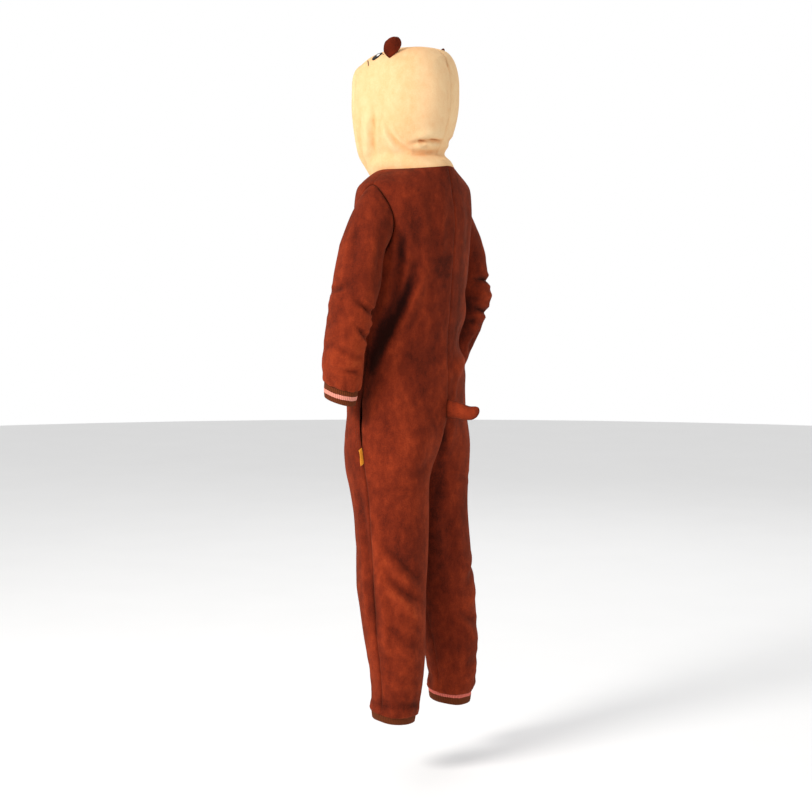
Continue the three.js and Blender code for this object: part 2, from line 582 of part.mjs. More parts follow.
function sleeve(mirror) {
  const rows = [...steps(CAP_ROWS + 1).slice(0, -1).map((s) => s - 1), ...SLEEVE_ROWS];
  const rounds = steps(SLEEVE_SEGMENTS + 1).slice(0, -1);
  const normalAt = (row, round) =>
    row === -1 ? armholeNormal(round, mirror) : sleeveSurfaceNormal(row, round, mirror);
  const pointAt = (row, round) => {
    const p = sleeveSurface(row, round, mirror);
    if (row <= 0) return p;
    const there = v3(mirror * p.x, p.y, p.z);
    return p.addScaledVector(sleeveNormal(row, round), foldDepth(SLEEVE_FOLDS, there));
  };
  const grid = clothGrid(rows, rounds, pointAt, normalAt, CLOTH);
  return mirrored(wall(pullEdges(grid, true), true), mirror);
}

// A rib cuff: a tube that starts inside the sleeve's or the leg's turned-in end and stands just clear of it
function cuff(start, end, mirror) {
  const rounds = steps(CUFF_SEGMENTS + 1).slice(0, -1);
  const pointAt = (row, round) => {
    const angle = 2 * Math.PI * round;
    const edge = (size) => {
      const way = v3(size.across * Math.cos(angle), size.depth * Math.sin(angle), 0);
      return v3(size.x + way.x, size.y + way.y, size.height - size.tilt * way.y);
    };
    return edge(start).lerp(edge(end), row);
  };
  const normalAt = (row, round) => v3(Math.cos(2 * Math.PI * round), Math.sin(2 * Math.PI * round), 0);
  const grid = clothGrid(steps(CUFF_ROWS + 1), rounds, pointAt, normalAt, RIB);
  return mirrored(wall(grid, true), mirror);
}

function sleeveCuff(mirror) {
  const last = SLEEVE.length - 1;
  const end = SLEEVE[last];
  const shift = sleeveShift(mirror, last);
  const inset = SEAM_GAP;
  const start = {
    x: end.x + shift.x,
    y: end.y + shift.y,
    height: end.height - inset,
    across: end.across,
    depth: end.depth,
    tilt: end.tilt,
  };
  const finish = {
    x: start.x + SLEEVE_CUFF.shiftX,
    y: start.y + SLEEVE_CUFF.shiftY,
    height: start.height - SLEEVE_CUFF.length,
    across: SLEEVE_CUFF.acrossEnd,
    depth: SLEEVE_CUFF.depthEnd,
    tilt: end.tilt,
  };
  return cuff(start, finish, mirror);
}

// The leg cuff follows the turned-in hem and runs a little narrower towards the ankle
function legCuff(mirror) {
  const hemRow = BODY.length - 1;
  const rounds = steps(CUFF_SEGMENTS + 1).slice(0, -1);
  const middle = v3((at(BODY, "side", hemRow) + at(BODY, "gap", hemRow)) / 2, at(BODY, "middle", hemRow), 0);
  const along = (round) => (round <= 0.5 ? 2 * round : 2 * round - 2);
  const outward = (round) => {
    const p = bodyPoint(hemRow, along(round)).sub(middle);
    return p.setZ(0).normalize();
  };
  const pointAt = (row, round) => {
    const p = bodyPoint(hemRow, along(round)).addScaledVector(outward(round), -LEG_CUFF.taper * row);
    p.z -= SEAM_GAP + LEG_CUFF.length * row;
    return p;
  };
  const grid = clothGrid(steps(CUFF_ROWS + 1), rounds, pointAt, (row, round) => outward(round), RIB);
  return mirrored(wall(grid, true), mirror);
}

// A closed body through rings of points, with its two ends closed by strips across the ring
function closedTube(rings) {
  const count = rings[0].length;
  const positions = rings.flat().flatMap((p) => p.toArray());
  const index = [];
  for (let i = 0; i < rings.length - 1; i++) {
    for (let j = 0; j < count; j++) {
      const [a, b] = [i * count + j, i * count + ((j + 1) % count)];
      index.push(a, b, b + count, a, b + count, a + count);
    }
  }
  const top = (rings.length - 1) * count;
  for (const [base, turn] of [[0, true], [top, false]]) {
    for (let k = 0; k < count / 2; k++) {
      const [a, b, c, d] = [k, k + 1, count - k - 1, (count - k) % count].map((n) => base + n);
      if (b !== c) index.push(...(turn ? [a, c, b] : [a, b, c]));
      if (a !== d) index.push(...(turn ? [a, d, c] : [a, c, d]));
    }
  }
  const geometry = new THREE.BufferGeometry();
  geometry.setAttribute("position", new THREE.Float32BufferAttribute(positions, 3));
  geometry.setIndex(index);
  return facingOut(geometry);
}

// The row and place along it where a surface passes over a sideways place x and a place y
function placeOver(surface, x, y, start) {
  const place = [...start];
  const step = 0.01;
  for (let turn = 0; turn < 25; turn++) {
    const p = surface(...place);
    const byRow = surface(place[0] + step, place[1]).sub(p).divideScalar(step);
    const byAlong = surface(place[0], place[1] + step).sub(p).divideScalar(step);
    const scale = byRow.x * byAlong.y - byRow.y * byAlong.x;
    const [dx, dy] = [x - p.x, y - p.y];
    const rowStep = clamp((dx * byAlong.y - dy * byAlong.x) / scale, -0.5, 0.5);
    const alongStep = clamp((byRow.x * dy - byRow.y * dx) / scale, -0.2, 0.2);
    place[0] = clamp(place[0] + rowStep, 0.1, CROWN_TOP - 0.02);
    place[1] = clamp(place[1] + alongStep, -0.99, 0.99);
  }
  return place;
}

// A point over the left half of the hood's crown, moved out from the cloth
function overCrown(x, y, out) {
  const place = placeOver(hoodPoint, x, y, [8, y > 0 ? 0.3 : -0.3]);
  return hoodPoint(...place).addScaledVector(hoodNormal(...place), out);
}

// An ear: a stuffed lobe that stands on the crown, its base cut to the hood and widest above it
function ear(mirror) {
  const place = mirror > 0 ? LEFT_EAR : RIGHT_EAR;
  const foot = overCrown(place.x, place.y, SEAT);
  const tall = EAR_OUTLINE.at(-1).up;
  const rounds = steps(EAR_SEGMENTS + 1).slice(0, -1);
  const flatRing = ({ wide, thick }, round) => {
    const angle = 2 * Math.PI * round;
    const across = EAR_WIDTH.clone().multiplyScalar((wide / 2) * Math.cos(angle));
    return across.add(v3(0, (thick / 2) * Math.sin(angle), 0));
  };
  const rings = EAR_OUTLINE.map((size) =>
    rounds.map((round) => {
      const base = flatRing(EAR_OUTLINE[0], round);
      const seat = overCrown(foot.x + base.x, foot.y + base.y, SEAT).sub(foot).sub(base);
      const p = foot.clone().add(flatRing(size, round)).addScaledVector(place.way, size.up);
      return p.addScaledVector(seat, (1 - size.up / tall) ** 3);
    })
  );
  return mirrored(closedTube(rings), mirror);
}

// An oval on the left side of the crown, moved out from the cloth
function ovalPatch(oval, mirror) {
  const spots = steps(PATCH_POINTS).map((s) => 2 * s - 1);
  const reach = (u, v) => [u * Math.sqrt(1 - (v * v) / 2), v * Math.sqrt(1 - (u * u) / 2)];
  const spot = (u, v) => {
    const [across, along] = reach(u, v);
    return [oval.x + across * oval.halfX, oval.y + along * oval.halfY + across * oval.slant];
  };
  const grid = spots.map((u) =>
    spots.map((v) => ({
      out: overCrown(...spot(u, v), oval.lift + oval.thick),
      in: overCrown(...spot(u, v), oval.lift),
    }))
  );
  return mirrored(wall(grid, false), mirror);
}

// The nose lies across the middle of the face, so its grid runs over both halves of the hood
function nose() {
  const spots = steps(PATCH_POINTS).map((s) => 2 * s - 1);
  const point = (u, v, out) => {
    const x = NOSE.halfX * u * Math.sqrt(1 - (v * v) / 2);
    const y = NOSE.y + NOSE.halfY * v * Math.sqrt(1 - (u * u) / 2);
    const p = overCrown(Math.max(Math.abs(x), 0.4), y, out);
    return v3(x, p.y, p.z);
  };
  const dome = (u, v) => NOSE.thick * Math.sqrt(Math.max(0.05, 1 - Math.max(u * u, v * v)));
  const grid = spots.map((u) =>
    spots.map((v) => ({ out: point(u, v, SEAT + dome(u, v)), in: point(u, v, SEAT) }))
  );
  return facingOut(wall(grid, false));
}

// The row where the middle of the body's back or front has a height
function rowAtHeight(height, drop) {
  let [low, high] = [0, BODY.length - 1];
  for (let turn = 0; turn < 40; turn++) {
    const row = (low + high) / 2;
    if (at(BODY, "height", row) - at(BODY, drop, row) > height) low = row;
    else high = row;
  }
  return low;
}

// The tail: a stuffed stub on the seam in the middle of the seat
function tail() {
  const rings = TAIL_RINGS.map(({ out, up, tall, wide }, k) =>
    steps(TAIL_SEGMENTS + 1)
      .slice(0, -1)
      .map((round) => {
        const angle = 2 * Math.PI * round;
        const x = (wide / 2) * Math.cos(angle);
        const z = TAIL.height + up + (tall / 2) * Math.sin(angle);
        const row = rowAtHeight(TAIL.height + up + (tall / 2) * Math.sin(angle), "dropBack");
        const root = foldedPoint(bodyPoint, bodyNormal, BODY_FOLDS, 1, row, 1).y + SEAT;
        return v3(x, k === 0 ? root : TAIL.rootY + out, z);
      })
  );
  return closedTube(rings);
}

// A point on the middle of the front, from the placket's own rows
function frontPoint(row, x, out) {
  const along = -1 + (x / at(BODY, "side", row)) * FRONT_SPREAD;
  const p = bodyPoint(row, along);
  return v3(x, p.y - out, p.z);
}

// The placket: a strip that lies on the front's edges from the neck to the belly
function placket() {
  const rows = BODY_ROWS.filter((row) => row >= PLACKET.topRow && row <= PLACKET.bottomRow);
  const grid = rows.map((row) =>
    steps(PLACKET_COLUMNS).map((s) => {
      const x = PLACKET.half * (2 * s - 1);
      const base = frontPoint(row, Math.abs(x), SEAT);
      return { out: v3(x, base.y - PLACKET.thick, base.z), in: v3(x, base.y, base.z) };
    })
  );
  return facingOut(wall(grid, false));
}

// A plain round button, dished inside its rim
function button() {
  const profile = [
    [0, 0],
    [BUTTON.radius, 0],
    [BUTTON.radius, BUTTON.thick - BUTTON.rim],
    [BUTTON.radius - BUTTON.rim, BUTTON.thick],
    [BUTTON.radius - 2 * BUTTON.rim, BUTTON.thick],
    [BUTTON.radius - 3 * BUTTON.rim, BUTTON.thick - BUTTON.rim],
    [0, BUTTON.thick - BUTTON.rim],
  ].map(([x, y]) => new THREE.Vector2(x, y));
  return new THREE.LatheGeometry(profile, BUTTON_SEGMENTS);
}

// The blank tab in the left side seam
function label() {
  const rows = steps(LABEL_POINTS);
  const grid = rows.map((s) => {
    const row = LABEL.topRow + (LABEL.bottomRow - LABEL.topRow) * s;
    const seat = foldedPoint(bodyPoint, bodyNormal, BODY_FOLDS, 1, row, 0);
    return steps(LABEL_POINTS).map((t) => {
      const x = seat.x + SEAT + LABEL.out * t;
      const y = seat.y + LABEL.sway * t * t;
      const z = seat.z - LABEL.droop * t;
      return { out: v3(x, y + RIBBON / 2, z), in: v3(x, y - RIBBON / 2, z) };
    });
  });
  return facingOut(wall(grid, false));
}

const part = new THREE.Group();
const suit = new THREE.Group();
suit.position.z = -CARRIED_AT;
part.add(suit);

function add(name, geometry, colour) {
  const mesh = new THREE.Mesh(geometry, new THREE.MeshStandardMaterial({ ...COLOURS[colour], metalness: 0 }));
  mesh.name = name;
  suit.add(mesh);
  return mesh;
}

for (const [side, mirror] of [["left", 1], ["right", -1]]) {
  add(`back_${side}`, bodyPanel(1, mirror), "fleece");
  add(`front_${side}`, bodyPanel(-1, mirror), "fleece");
  add(`sleeve_${side}`, sleeve(mirror), "fleece");
  add(`sleeve_cuff_${side}`, sleeveCuff(mirror), "rib");
  add(`leg_cuff_${side}`, legCuff(mirror), "rib");
  add(`hood_${side}`, hoodPanel(mirror), "hood");
  add(`ear_${side}`, ear(mirror), "fleece");
  add(`eye_${side}`, ovalPatch(EYE, mirror), "black");
  add(`eye_light_${side}`, ovalPatch(EYE_LIGHT, mirror), "white");
}
add("nose", nose(), "black");
add("tail", tail(), "fleece");
add("placket", placket(), "fleece");
add("label", label(), "label");
for (let k = 0; k < BUTTON.count; k++) {
  const height = BUTTON.top + ((BUTTON.bottom - BUTTON.top) * k) / (BUTTON.count - 1);
  const row = rowAtHeight(height, "dropFront");
  const face = (place) => frontPoint(place, 0, SEAT + PLACKET.thick);
  const slope = face(row - SLOPE_STEP).sub(face(row + SLOPE_STEP)).normalize();
  const outward = v3(0, -slope.z, slope.y);
  const mesh = add(`button_${k + 1}`, button(), "button");
  mesh.position.copy(face(row).addScaledVector(outward, BUTTON.seat));
  mesh.quaternion.setFromUnitVectors(v3(0, 1, 0), outward);
}

export default part;
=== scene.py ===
# Otter onesie, as worn: brown pile fleece with a pale hood, two ears, a stuffed tail, striped rib cuffs and
# a buttoned front. Tables are in millimetres with heights above the floor. place() turns them into metres in
# the row frame, whose origin is the place between the shoulders.
import math

import bpy
import numpy as np
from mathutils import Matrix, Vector

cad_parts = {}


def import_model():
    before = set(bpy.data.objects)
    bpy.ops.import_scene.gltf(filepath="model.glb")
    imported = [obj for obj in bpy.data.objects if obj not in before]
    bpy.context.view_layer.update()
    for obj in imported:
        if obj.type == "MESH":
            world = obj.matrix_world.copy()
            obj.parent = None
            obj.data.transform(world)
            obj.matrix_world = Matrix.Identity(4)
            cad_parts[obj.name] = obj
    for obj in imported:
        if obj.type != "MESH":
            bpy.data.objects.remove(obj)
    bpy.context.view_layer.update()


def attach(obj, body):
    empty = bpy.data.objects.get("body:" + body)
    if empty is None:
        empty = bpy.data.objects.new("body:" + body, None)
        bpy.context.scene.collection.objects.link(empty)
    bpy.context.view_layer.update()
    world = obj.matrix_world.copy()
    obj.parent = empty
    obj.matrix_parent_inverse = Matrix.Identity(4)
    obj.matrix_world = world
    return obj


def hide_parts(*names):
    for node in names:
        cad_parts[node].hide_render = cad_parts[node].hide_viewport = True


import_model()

CARRIED_AT = 1400
METRE = 1000

# Cloth and seams
CLOTH = 2.5
SEAM_GAP = 0.3
BODY_FULLNESS = 2.15
CROWN_FULLNESS = 3
CROTCH_HEIGHT = 690
SEAT_DEPTH = 175
SEAT_CURVE = 1.25
SHOULDER_ROW = 4
ARMPIT_ROW = 9
CROTCH_ROW = 16
ARMHOLE_BACK = 54
ARMHOLE_FRONT = 50
ARMHOLE_ROUND = 0.75
CROWN_BACK = 124
HOOD_SAG_ROWS = 4
CROWN_STEPS = 6

# How a seam draws the cloth in, and how it puckers beside it
SEAM_DEPTH = 2.6
SEAM_WIDTH = 3.2
PUCKER_DEPTH = 0.9
PUCKER_WIDTH = 12
PUCKER_PITCH = 17
PUCKER_SHIFT = 23

# Unevenness: how wide, how high and which part of the lattice. The cloth's own, its drape down the body being
# longer than it is wide, then the gathers above a leg's hem and above a wrist.
FLUTTER = [(95, 2.2, 3), (34, 0.8, 11)]
FLUTTER_LENGTHWISE = 0.7
HEM_GATHERS = [(14, 2.2, 31), (7, 1.2, 37)]
WRIST_GATHERS = [(13, 3, 41), (6.5, 1.4, 43)]


def table(columns, rows):
    names = columns.split()
    return {name: np.array([row[k] for row in rows], float) for k, name in enumerate(names)}


# Half of the body and one leg, neck seam to leg hem
BODY = table("height drop_back drop_front side gap middle back front tilt", [
    (1451, -8, 50, 90, 0, 15, 108, 92, 0),
    (1446, 6, 58, 110, 0, 17, 110, 99, 0),
    (1438, 20, 60, 130, 0, 19, 112, 105, 0),
    (1427, 30, 58, 149, 0, 20, 115, 110, 0),
    (1413, 40, 52, 165, 0, 20, 118, 114, 0),
    (1382, 37, 43, 170, 0, 20, 121, 117, 0),
    (1346, 29, 32, 169, 0, 20, 122, 118, 0),
    (1306, 19, 20, 165, 0, 19, 121, 118, 0),
    (1265, 9, 9, 161, 0, 18, 120, 117, 0),
    (1225, 0, 0, 157, 0, 17, 119, 116, 0),
    (1150, 0, 0, 156, 0, 12, 119, 112, 0),
    (1070, 0, 0, 160, 0, 5, 121, 106, 0),
    (990, 0, 0, 169, 0, -2, 125, 104, 0),
    (910, 0, 0, 179, 0, -5, 129, 108, 0),
    (830, 0, 0, 182, 0, -3, 126, 105, 0),
    (745, 0, 0, 177, 0, 2, 111, 99, 0),
    (690, 0, 0, 172, 0, 8, 100, 94, 0),
    (620, 0, 0, 171, 3, 14, 93, 87, 0),
    (530, 0, 0, 176, 10, 22, 88, 83, 0),
    (445, 0, 0, 182, 22, 30, 83, 79, 0),
    (360, 0, 0, 185, 36, 40, 78, 72, 0),
    (280, 0, 0, 182, 50, 50, 70, 63, 0.05),
    (217, 0, 0, 178, 62, 53, 62, 56, 0.1),
    (192, 0, 0, 178, 66, 51, 61, 56, 0.12),
    (178, 0, 0, 177, 67, 49, 57, 55, 0.14),
    (174, 0, 0, 174, 70, 48, 52, 51, 0.14),
])

# The sleeve's rings from the upper arm to the turned-in end
SLEEVE = table("x y height across depth tilt", [
    (210, 18, 1250, 42, 57, 0),
    (220, 16, 1194, 48, 59, 0),
    (236, 15, 1142, 51, 56, 0.05),
    (245, 12, 1112, 49, 52, 0.1),
    (245, 4, 1072, 48, 52, 0.15),
    (242, -7, 1030, 47, 50, 0.2),
    (239, -14, 990, 47, 50, 0.25),
    (237, -17, 962, 45, 48, 0.28),
    (236, -19, 947, 42, 45, 0.3),
    (236, -20, 943, 37, 40, 0.3),
])
SLEEVE_LEAN = 0.8
CAP_ALONG = 0.35
CAP_BEND = {"out": 8, "up": 16, "under_out": 7, "under_up": 8}
RIGHT_FOREARM = (-14, -29)
RIGHT_ELBOW = {"out": 11, "back": 6, "from_row": -0.6, "rows": 4.4}
SLEEVE_CUFF = {"length": 34, "across": 34, "depth": 37, "x": -1, "y": -4, "ribs": 52, "flat": 0.19}
LEG_CUFF = {"length": 34, "taper": 2, "ribs": 76, "flat": 0.27}

# The hood below the crown, and the crown's ridge from the face opening to the back
HOOD = table("height drop_back drop_front side middle back edge_x edge_y", [
    (1451, -8, 50, 90, 15, 108, 0, -77),
    (1468, -6, 46, 91, 13, 98, 30, -82),
    (1488, 0, 40, 86, 10, 80, 48, -88),
    (1514, 4, 34, 94, 9, 93, 62, -94),
    (1552, 2, 28, 103, 8, 111, 73, -98),
    (1600, 0, 18, 108, 7, 123, 80, -101),
    (1650, 0, 8, 108, 5, 127, 80, -101),
])
CROWN = table("y height", [
    (-101, 1704),
    (-55, 1726),
    (-5, 1738),
    (55, 1741),
    (92, 1734),
    (114, 1718),
    (124, 1698),
])
HOOD_ROWS = len(HOOD["height"]) - 1
CROWN_TOP = HOOD_ROWS + CROWN_STEPS
NORMAL_STEP = 0.02
FACE_HEM = 19
SIDES = {"left": 1, "right": -1}

# Folds: a path on the cloth, how wide, how deep, and how much of the depth is a narrow crease in its middle.
# A depth below nought is a trough.
BODY_FOLDS = [
    ([(106, 108, 1232), (120, 81, 1166), (135, 57, 1107), (150, 33, 1053), (163, 12, 990), (175, 7, 930)],
     17, -15, 0.3),
    ([(90, 122, 1220), (112, 97, 1130), (132, 74, 1060), (148, 56, 1000)], 17, 6, 0),
    ([(140, 87, 1301), (133, 79, 1255), (134, 71, 1201), (141, 60, 1150)], 11, -8, 0.25),
    ([(129, 98, 1236), (127, 84, 1190), (138, 62, 1120)], 9, 4, 0),
    ([(0, 128, 1030), (90, 108, 1000), (150, 66, 968)], 32, -6, 0),
    ([(176, 4, 945), (180, 4, 880), (182, 0, 830)], 15, -5, 0),
    ([(-40, 128, 1060), (-100, 92, 1035), (-150, 40, 1020)], 42, -14, 0),
    ([(-10, 126, 960), (-60, 118, 985), (-120, 80, 1000)], 19, 9, 0),
    ([(-56, 120, 980), (-34, 126, 935), (-22, 124, 885)], 9, 3, 0),
    ([(-90, 108, 1180), (-120, 84, 1120), (-150, 50, 1075)], 18, -6, 0.15),
    ([(-128, 92, 1290), (-124, 92, 1230), (-136, 70, 1160)], 13, -6, 0.2),
    ([(68, 120, 1400), (80, 128, 1330), (74, 128, 1250)], 18, -3, 0),
    ([(36, 134, 1390), (44, 138, 1320), (40, 134, 1230)], 14, 2.5, 0),
    ([(128, 100, 1365), (112, 116, 1300), (96, 124, 1235)], 15, -4, 0.15),
    ([(-60, 124, 1395), (-70, 130, 1320), (-62, 130, 1240)], 17, -3, 0),
    ([(60, 116, 860), (110, 96, 800), (120, 84, 740)], 42, 6, 0),
    ([(3, 122, 860), (5, 108, 800), (6, 92, 735)], 13, -6, 0.2),
    ([(-3, 122, 860), (-5, 108, 800), (-6, 92, 735)], 13, -6, 0.2),
    ([(60, 112, 760), (96, 106, 742), (130, 86, 734)], 13, -3, 0.1),
    ([(167, 42, 690), (145, 84, 696), (95, 107, 693), (44, 108, 700)], 6, -2.2, 0.2),
    ([(-50, 108, 712), (-100, 104, 700), (-150, 74, 706)], 9, -3, 0.2),
    ([(167, -16, 680), (171, 6, 573), (179, 22, 480), (184, 40, 387), (181, 50, 292)], 13, -6, 0.2),
    ([(170, 24, 658), (172, 36, 599), (177, 48, 529), (181, 60, 435), (182, 70, 341), (178, 66, 260)],
     9, 3.5, 0),
    ([(172, 45, 570), (151, 89, 530), (119, 109, 492), (88, 108, 470)], 13, -7, 0.3),
    ([(180, 60, 505), (150, 98, 455), (110, 114, 430), (84, 106, 424)], 12, -7, 0.3),
    ([(175, 44, 480), (160, 84, 440), (132, 112, 400), (100, 116, 372)], 14, 6.5, 0),
    ([(178, 60, 385), (148, 100, 340), (110, 116, 318)], 12, -6.5, 0.25),
    ([(182, 62, 330), (150, 104, 300), (112, 116, 282)], 12, 5.5, 0),
    ([(180, 56, 262), (150, 100, 248), (100, 110, 240)], 9, -6.5, 0.35),
    ([(180, 66, 236), (150, 104, 228), (96, 108, 222)], 8, 2.5, 0),
    ([(181, 52, 205), (160, 96, 196), (122, 112, 194), (84, 98, 202)], 7, -4, 0.3),
    ([(-176, -20, 640), (-184, 0, 500), (-186, 14, 380)], 15, -6, 0.2),
    ([(-170, 60, 506), (-130, 100, 462), (-94, 104, 440)], 13, -8, 0.3),
    ([(-176, 58, 450), (-140, 104, 410), (-96, 112, 380)], 14, 4, 0),
    ([(-52, 80, 640), (-44, 98, 560), (-52, 104, 480)], 20, -5, 0),
    ([(-70, 106, 372), (-110, 118, 350), (-156, 100, 322)], 11, -7, 0.35),
    ([(-84, 104, 330), (-120, 116, 300), (-166, 84, 290)], 12, 4, 0),
    ([(-176, 64, 262), (-130, 112, 246), (-90, 100, 240)], 12, -5, 0.25),
    ([(-180, 60, 208), (-140, 108, 198), (-84, 100, 204)], 8, -4, 0.3),
    ([(-60, -98, 1150), (-110, -76, 1060), (-150, -40, 1010)], 19, -8, 0.2),
    ([(62, -98, 1165), (108, -76, 1070), (150, -40, 1022)], 21, -8, 0.2),
    ([(-50, -104, 1090), (-96, -82, 1010), (-136, -52, 960)], 16, 4, 0),
    ([(118, -84, 1340), (104, -98, 1270), (116, -88, 1200)], 15, -5, 0.2),
    ([(-120, -84, 1330), (-104, -98, 1262), (-114, -88, 1190)], 15, -5, 0.2),
    ([(8, -104, 742), (60, -104, 772), (130, -78, 800)], 15, -5, 0.25),
    ([(-8, -104, 736), (-66, -102, 762), (-136, -72, 786)], 16, -5, 0.25),
    ([(20, -100, 700), (70, -98, 716), (120, -80, 730)], 12, 3, 0),
    ([(40, -80, 560), (90, -84, 540), (150, -56, 548)], 16, -4, 0.15),
    ([(-40, -80, 548), (-96, -82, 530), (-150, -54, 540)], 16, -4, 0.15),
    ([(110, -92, 520), (140, -62, 450), (120, -70, 390)], 26, 5, 0),
    ([(-110, -92, 520), (-140, -62, 450), (-120, -70, 390)], 26, 5, 0),
    ([(80, -30, 300), (120, -30, 270), (170, 0, 262)], 14, -5, 0.2),
    ([(-84, -30, 290), (-124, -28, 262), (-170, 0, 258)], 14, -5, 0.2),
    ([(70, 20, 216), (110, -8, 204), (160, 10, 200)], 9, -4, 0.3),
    ([(-70, 20, 214), (-112, -8, 206), (-160, 10, 198)], 9, -4, 0.3),
]
SLEEVE_FOLDS = [
    ([(262, -40, 1160), (276, -20, 1168), (284, 14, 1174), (278, 44, 1180)], 7, -7, 0.2),
    ([(262, -30, 1204), (278, 0, 1206), (272, 40, 1208)], 14, 4, 0),
    ([(270, -34, 1134), (290, 0, 1142), (284, 40, 1146)], 11, 3.5, 0),
    ([(206, 40, 1124), (226, 66, 1116), (254, 66, 1127), (276, 50, 1148)], 7, -11, 0.5),
    ([(206, 30, 1056), (228, 52, 1056), (250, 57, 1068), (274, 50, 1090)], 8, -10, 0.45),
    ([(206, 22, 1090), (226, 54, 1090), (262, 58, 1102)], 9, 7, 0),
    ([(296, 14, 1100), (294, -12, 1090), (280, -36, 1084)], 9, -4, 0.1),
    ([(292, 20, 1050), (292, -16, 1040), (276, -46, 1036)], 10, -4, 0.1),
    ([(286, 10, 1034), (276, 36, 1022), (250, 44, 1012), (222, 32, 1016)], 8, -7, 0.35),
    ([(284, -22, 992), (276, 10, 984), (256, 34, 979), (226, 30, 974)], 6, -6, 0.4),
    ([(284, -14, 1006), (280, 4, 990), (262, 34, 992)], 9, 3, 0),
    ([(242, 34, 1310), (256, 32, 1262), (264, 30, 1216)], 12, -3, 0),
    ([(222, 66, 1330), (238, 70, 1266), (244, 68, 1206)], 17, 3.5, 0),
    ([(198, 84, 1306), (214, 78, 1246), (222, 72, 1186)], 12, -4, 0.15),
    ([(236, -44, 1262), (248, -46, 1200), (256, -44, 1150)], 15, -4, 0.1),
    ([(214, -44, 1130), (244, -48, 1120), (274, -30, 1118)], 9, -5, 0.2),
    ([(206, -46, 1040), (236, -62, 1030), (270, -44, 1026)], 11, -4, 0.2),
    ([(206, -50, 980), (236, -68, 974), (270, -50, 976)], 9, -4, 0.2),
    ([(-199, 67, 1186), (-222, 80, 1186), (-258, 76, 1182), (-286, 46, 1178)], 8, -11, 0.45),
    ([(-206, 60, 1150), (-238, 80, 1146), (-276, 64, 1142)], 11, 7, 0),
    ([(-208, 47, 1120), (-231, 62, 1111), (-262, 64, 1104), (-290, 32, 1098)], 8, -12, 0.5),
    ([(-206, 38, 1082), (-226, 52, 1080), (-266, 50, 1068)], 8, -8, 0.4),
    ([(-246, 48, 1048), (-238, 34, 1019), (-252, 20, 996)], 9, -5, 0.2),
    ([(-284, -20, 990), (-294, -52, 984), (-278, -84, 978)], 12, -4, 0.1),
    ([(-262, -36, 1160), (-288, -6, 1166), (-296, 30, 1170)], 10, -5, 0.2),
    ([(-220, 70, 1320), (-236, 74, 1262), (-244, 74, 1220)], 15, 3.5, 0),
    ([(-206, -44, 1140), (-240, -52, 1128), (-272, -36, 1120)], 10, -6, 0.25),
    ([(-206, -52, 1060), (-236, -72, 1052), (-270, -56, 1046)], 10, -5, 0.2),
    ([(-206, -66, 1000), (-234, -88, 990), (-268, -74, 986)], 10, -4, 0.2),
]
HOOD_FOLDS = [
    ([(100, 16, 1554), (96, 22, 1536), (87, 36, 1512), (70, 54, 1492)], 6, -14, 0.75),
    ([(105, 4, 1546), (96, 18, 1512), (80, 36, 1482)], 9, 5, 0),
    ([(76, 68, 1508), (58, 86, 1514), (24, 103, 1516), (-14, 104, 1513)], 5.5, -13, 0.65),
    ([(74, 78, 1530), (42, 104, 1533), (4, 114, 1530)], 10, 5.5, 0),
    ([(73, 50, 1490), (56, 74, 1487), (25, 87, 1489), (0, 90, 1492)], 6, -5, 0.3),
    ([(68, 60, 1502), (44, 84, 1502), (10, 94, 1502)], 6, 4.5, 0),
    ([(30, 94, 1498), (52, 82, 1508), (60, 80, 1522)], 5, -4, 0.3),
    ([(106, -18, 1590), (92, -30, 1525), (76, -40, 1474)], 9, -6, 0.25),
    ([(104, -40, 1590), (88, -54, 1516), (66, -66, 1462)], 9, 3, 0),
    ([(96, -66, 1590), (74, -76, 1512), (50, -80, 1464)], 8, -5, 0.2),
    ([(6, 122, 1706), (0, 127, 1688), (-8, 128, 1672)], 5, -2.5, 0.2),
    ([(14, 118, 1670), (10, 132, 1610), (8, 124, 1560)], 6, -2, 0),
    ([(-14, 118, 1680), (-12, 132, 1610), (-10, 122, 1556)], 7, 2, 0),
    ([(-96, 22, 1540), (-88, 42, 1514), (-76, 58, 1486)], 9, -6, 0.3),
    ([(-80, 60, 1522), (-50, 92, 1520), (-20, 104, 1526)], 8, -4, 0.2),
    ([(-104, -30, 1580), (-92, -40, 1514), (-72, -50, 1470)], 11, -4.5, 0.15),
    ([(-98, -60, 1590), (-80, -70, 1516), (-56, -76, 1466)], 9, 3, 0),
    ([(60, -60, 1724), (70, -20, 1724), (66, 20, 1730)], 22, 1.5, 0),
]

# Ears, face and tail. SEAT is the room left under what lies on the cloth.
SEAT = 0.6
EARS = {
    "left": {"x": 88, "y": 26, "way": (26, 12, 40)},
    "right": {"x": 92, "y": 22, "way": (38, 6, 36)},
}
EAR_WIDTH = (34, -24, -16)
EAR_OUTLINE = table("up wide thick", [
    (0, 22, 10),
    (8, 38, 14),
    (18, 47, 15),
    (29, 45, 13),
    (38, 35, 10),
    (42, 18, 6),
])
EYE_THICK = 1.4
EYE = {"x": 84, "y": -24, "half_x": 10, "half_y": 12, "slant": -2, "lift": SEAT, "thick": EYE_THICK}
LIGHT_LIFT = 2 * SEAT + EYE_THICK
EYE_LIGHT = {"x": 86, "y": -18, "half_x": 3.5, "half_y": 4, "slant": 0, "lift": LIGHT_LIFT, "thick": 1}
NOSE = {"y": -88, "half_x": 15, "half_y": 10, "thick": 6}
STITCHED_MARKS = {
    "brow": ([(66, -36), (74, -26), (82, -12), (87, -3)], 1.8),
    "whisker": ([(84, -52), (92, -45), (98, -40)], 2.6),
}
TAIL_HEIGHT = 880
TAIL_ROOT = 122
TAIL = table("out up tall wide", [
    (0, 0, 46, 13),
    (10, 0, 45, 17),
    (34, -4, 39, 22),
    (62, -8, 34, 22),
    (80, -5, 28, 17),
    (88, -2, 17, 8),
])

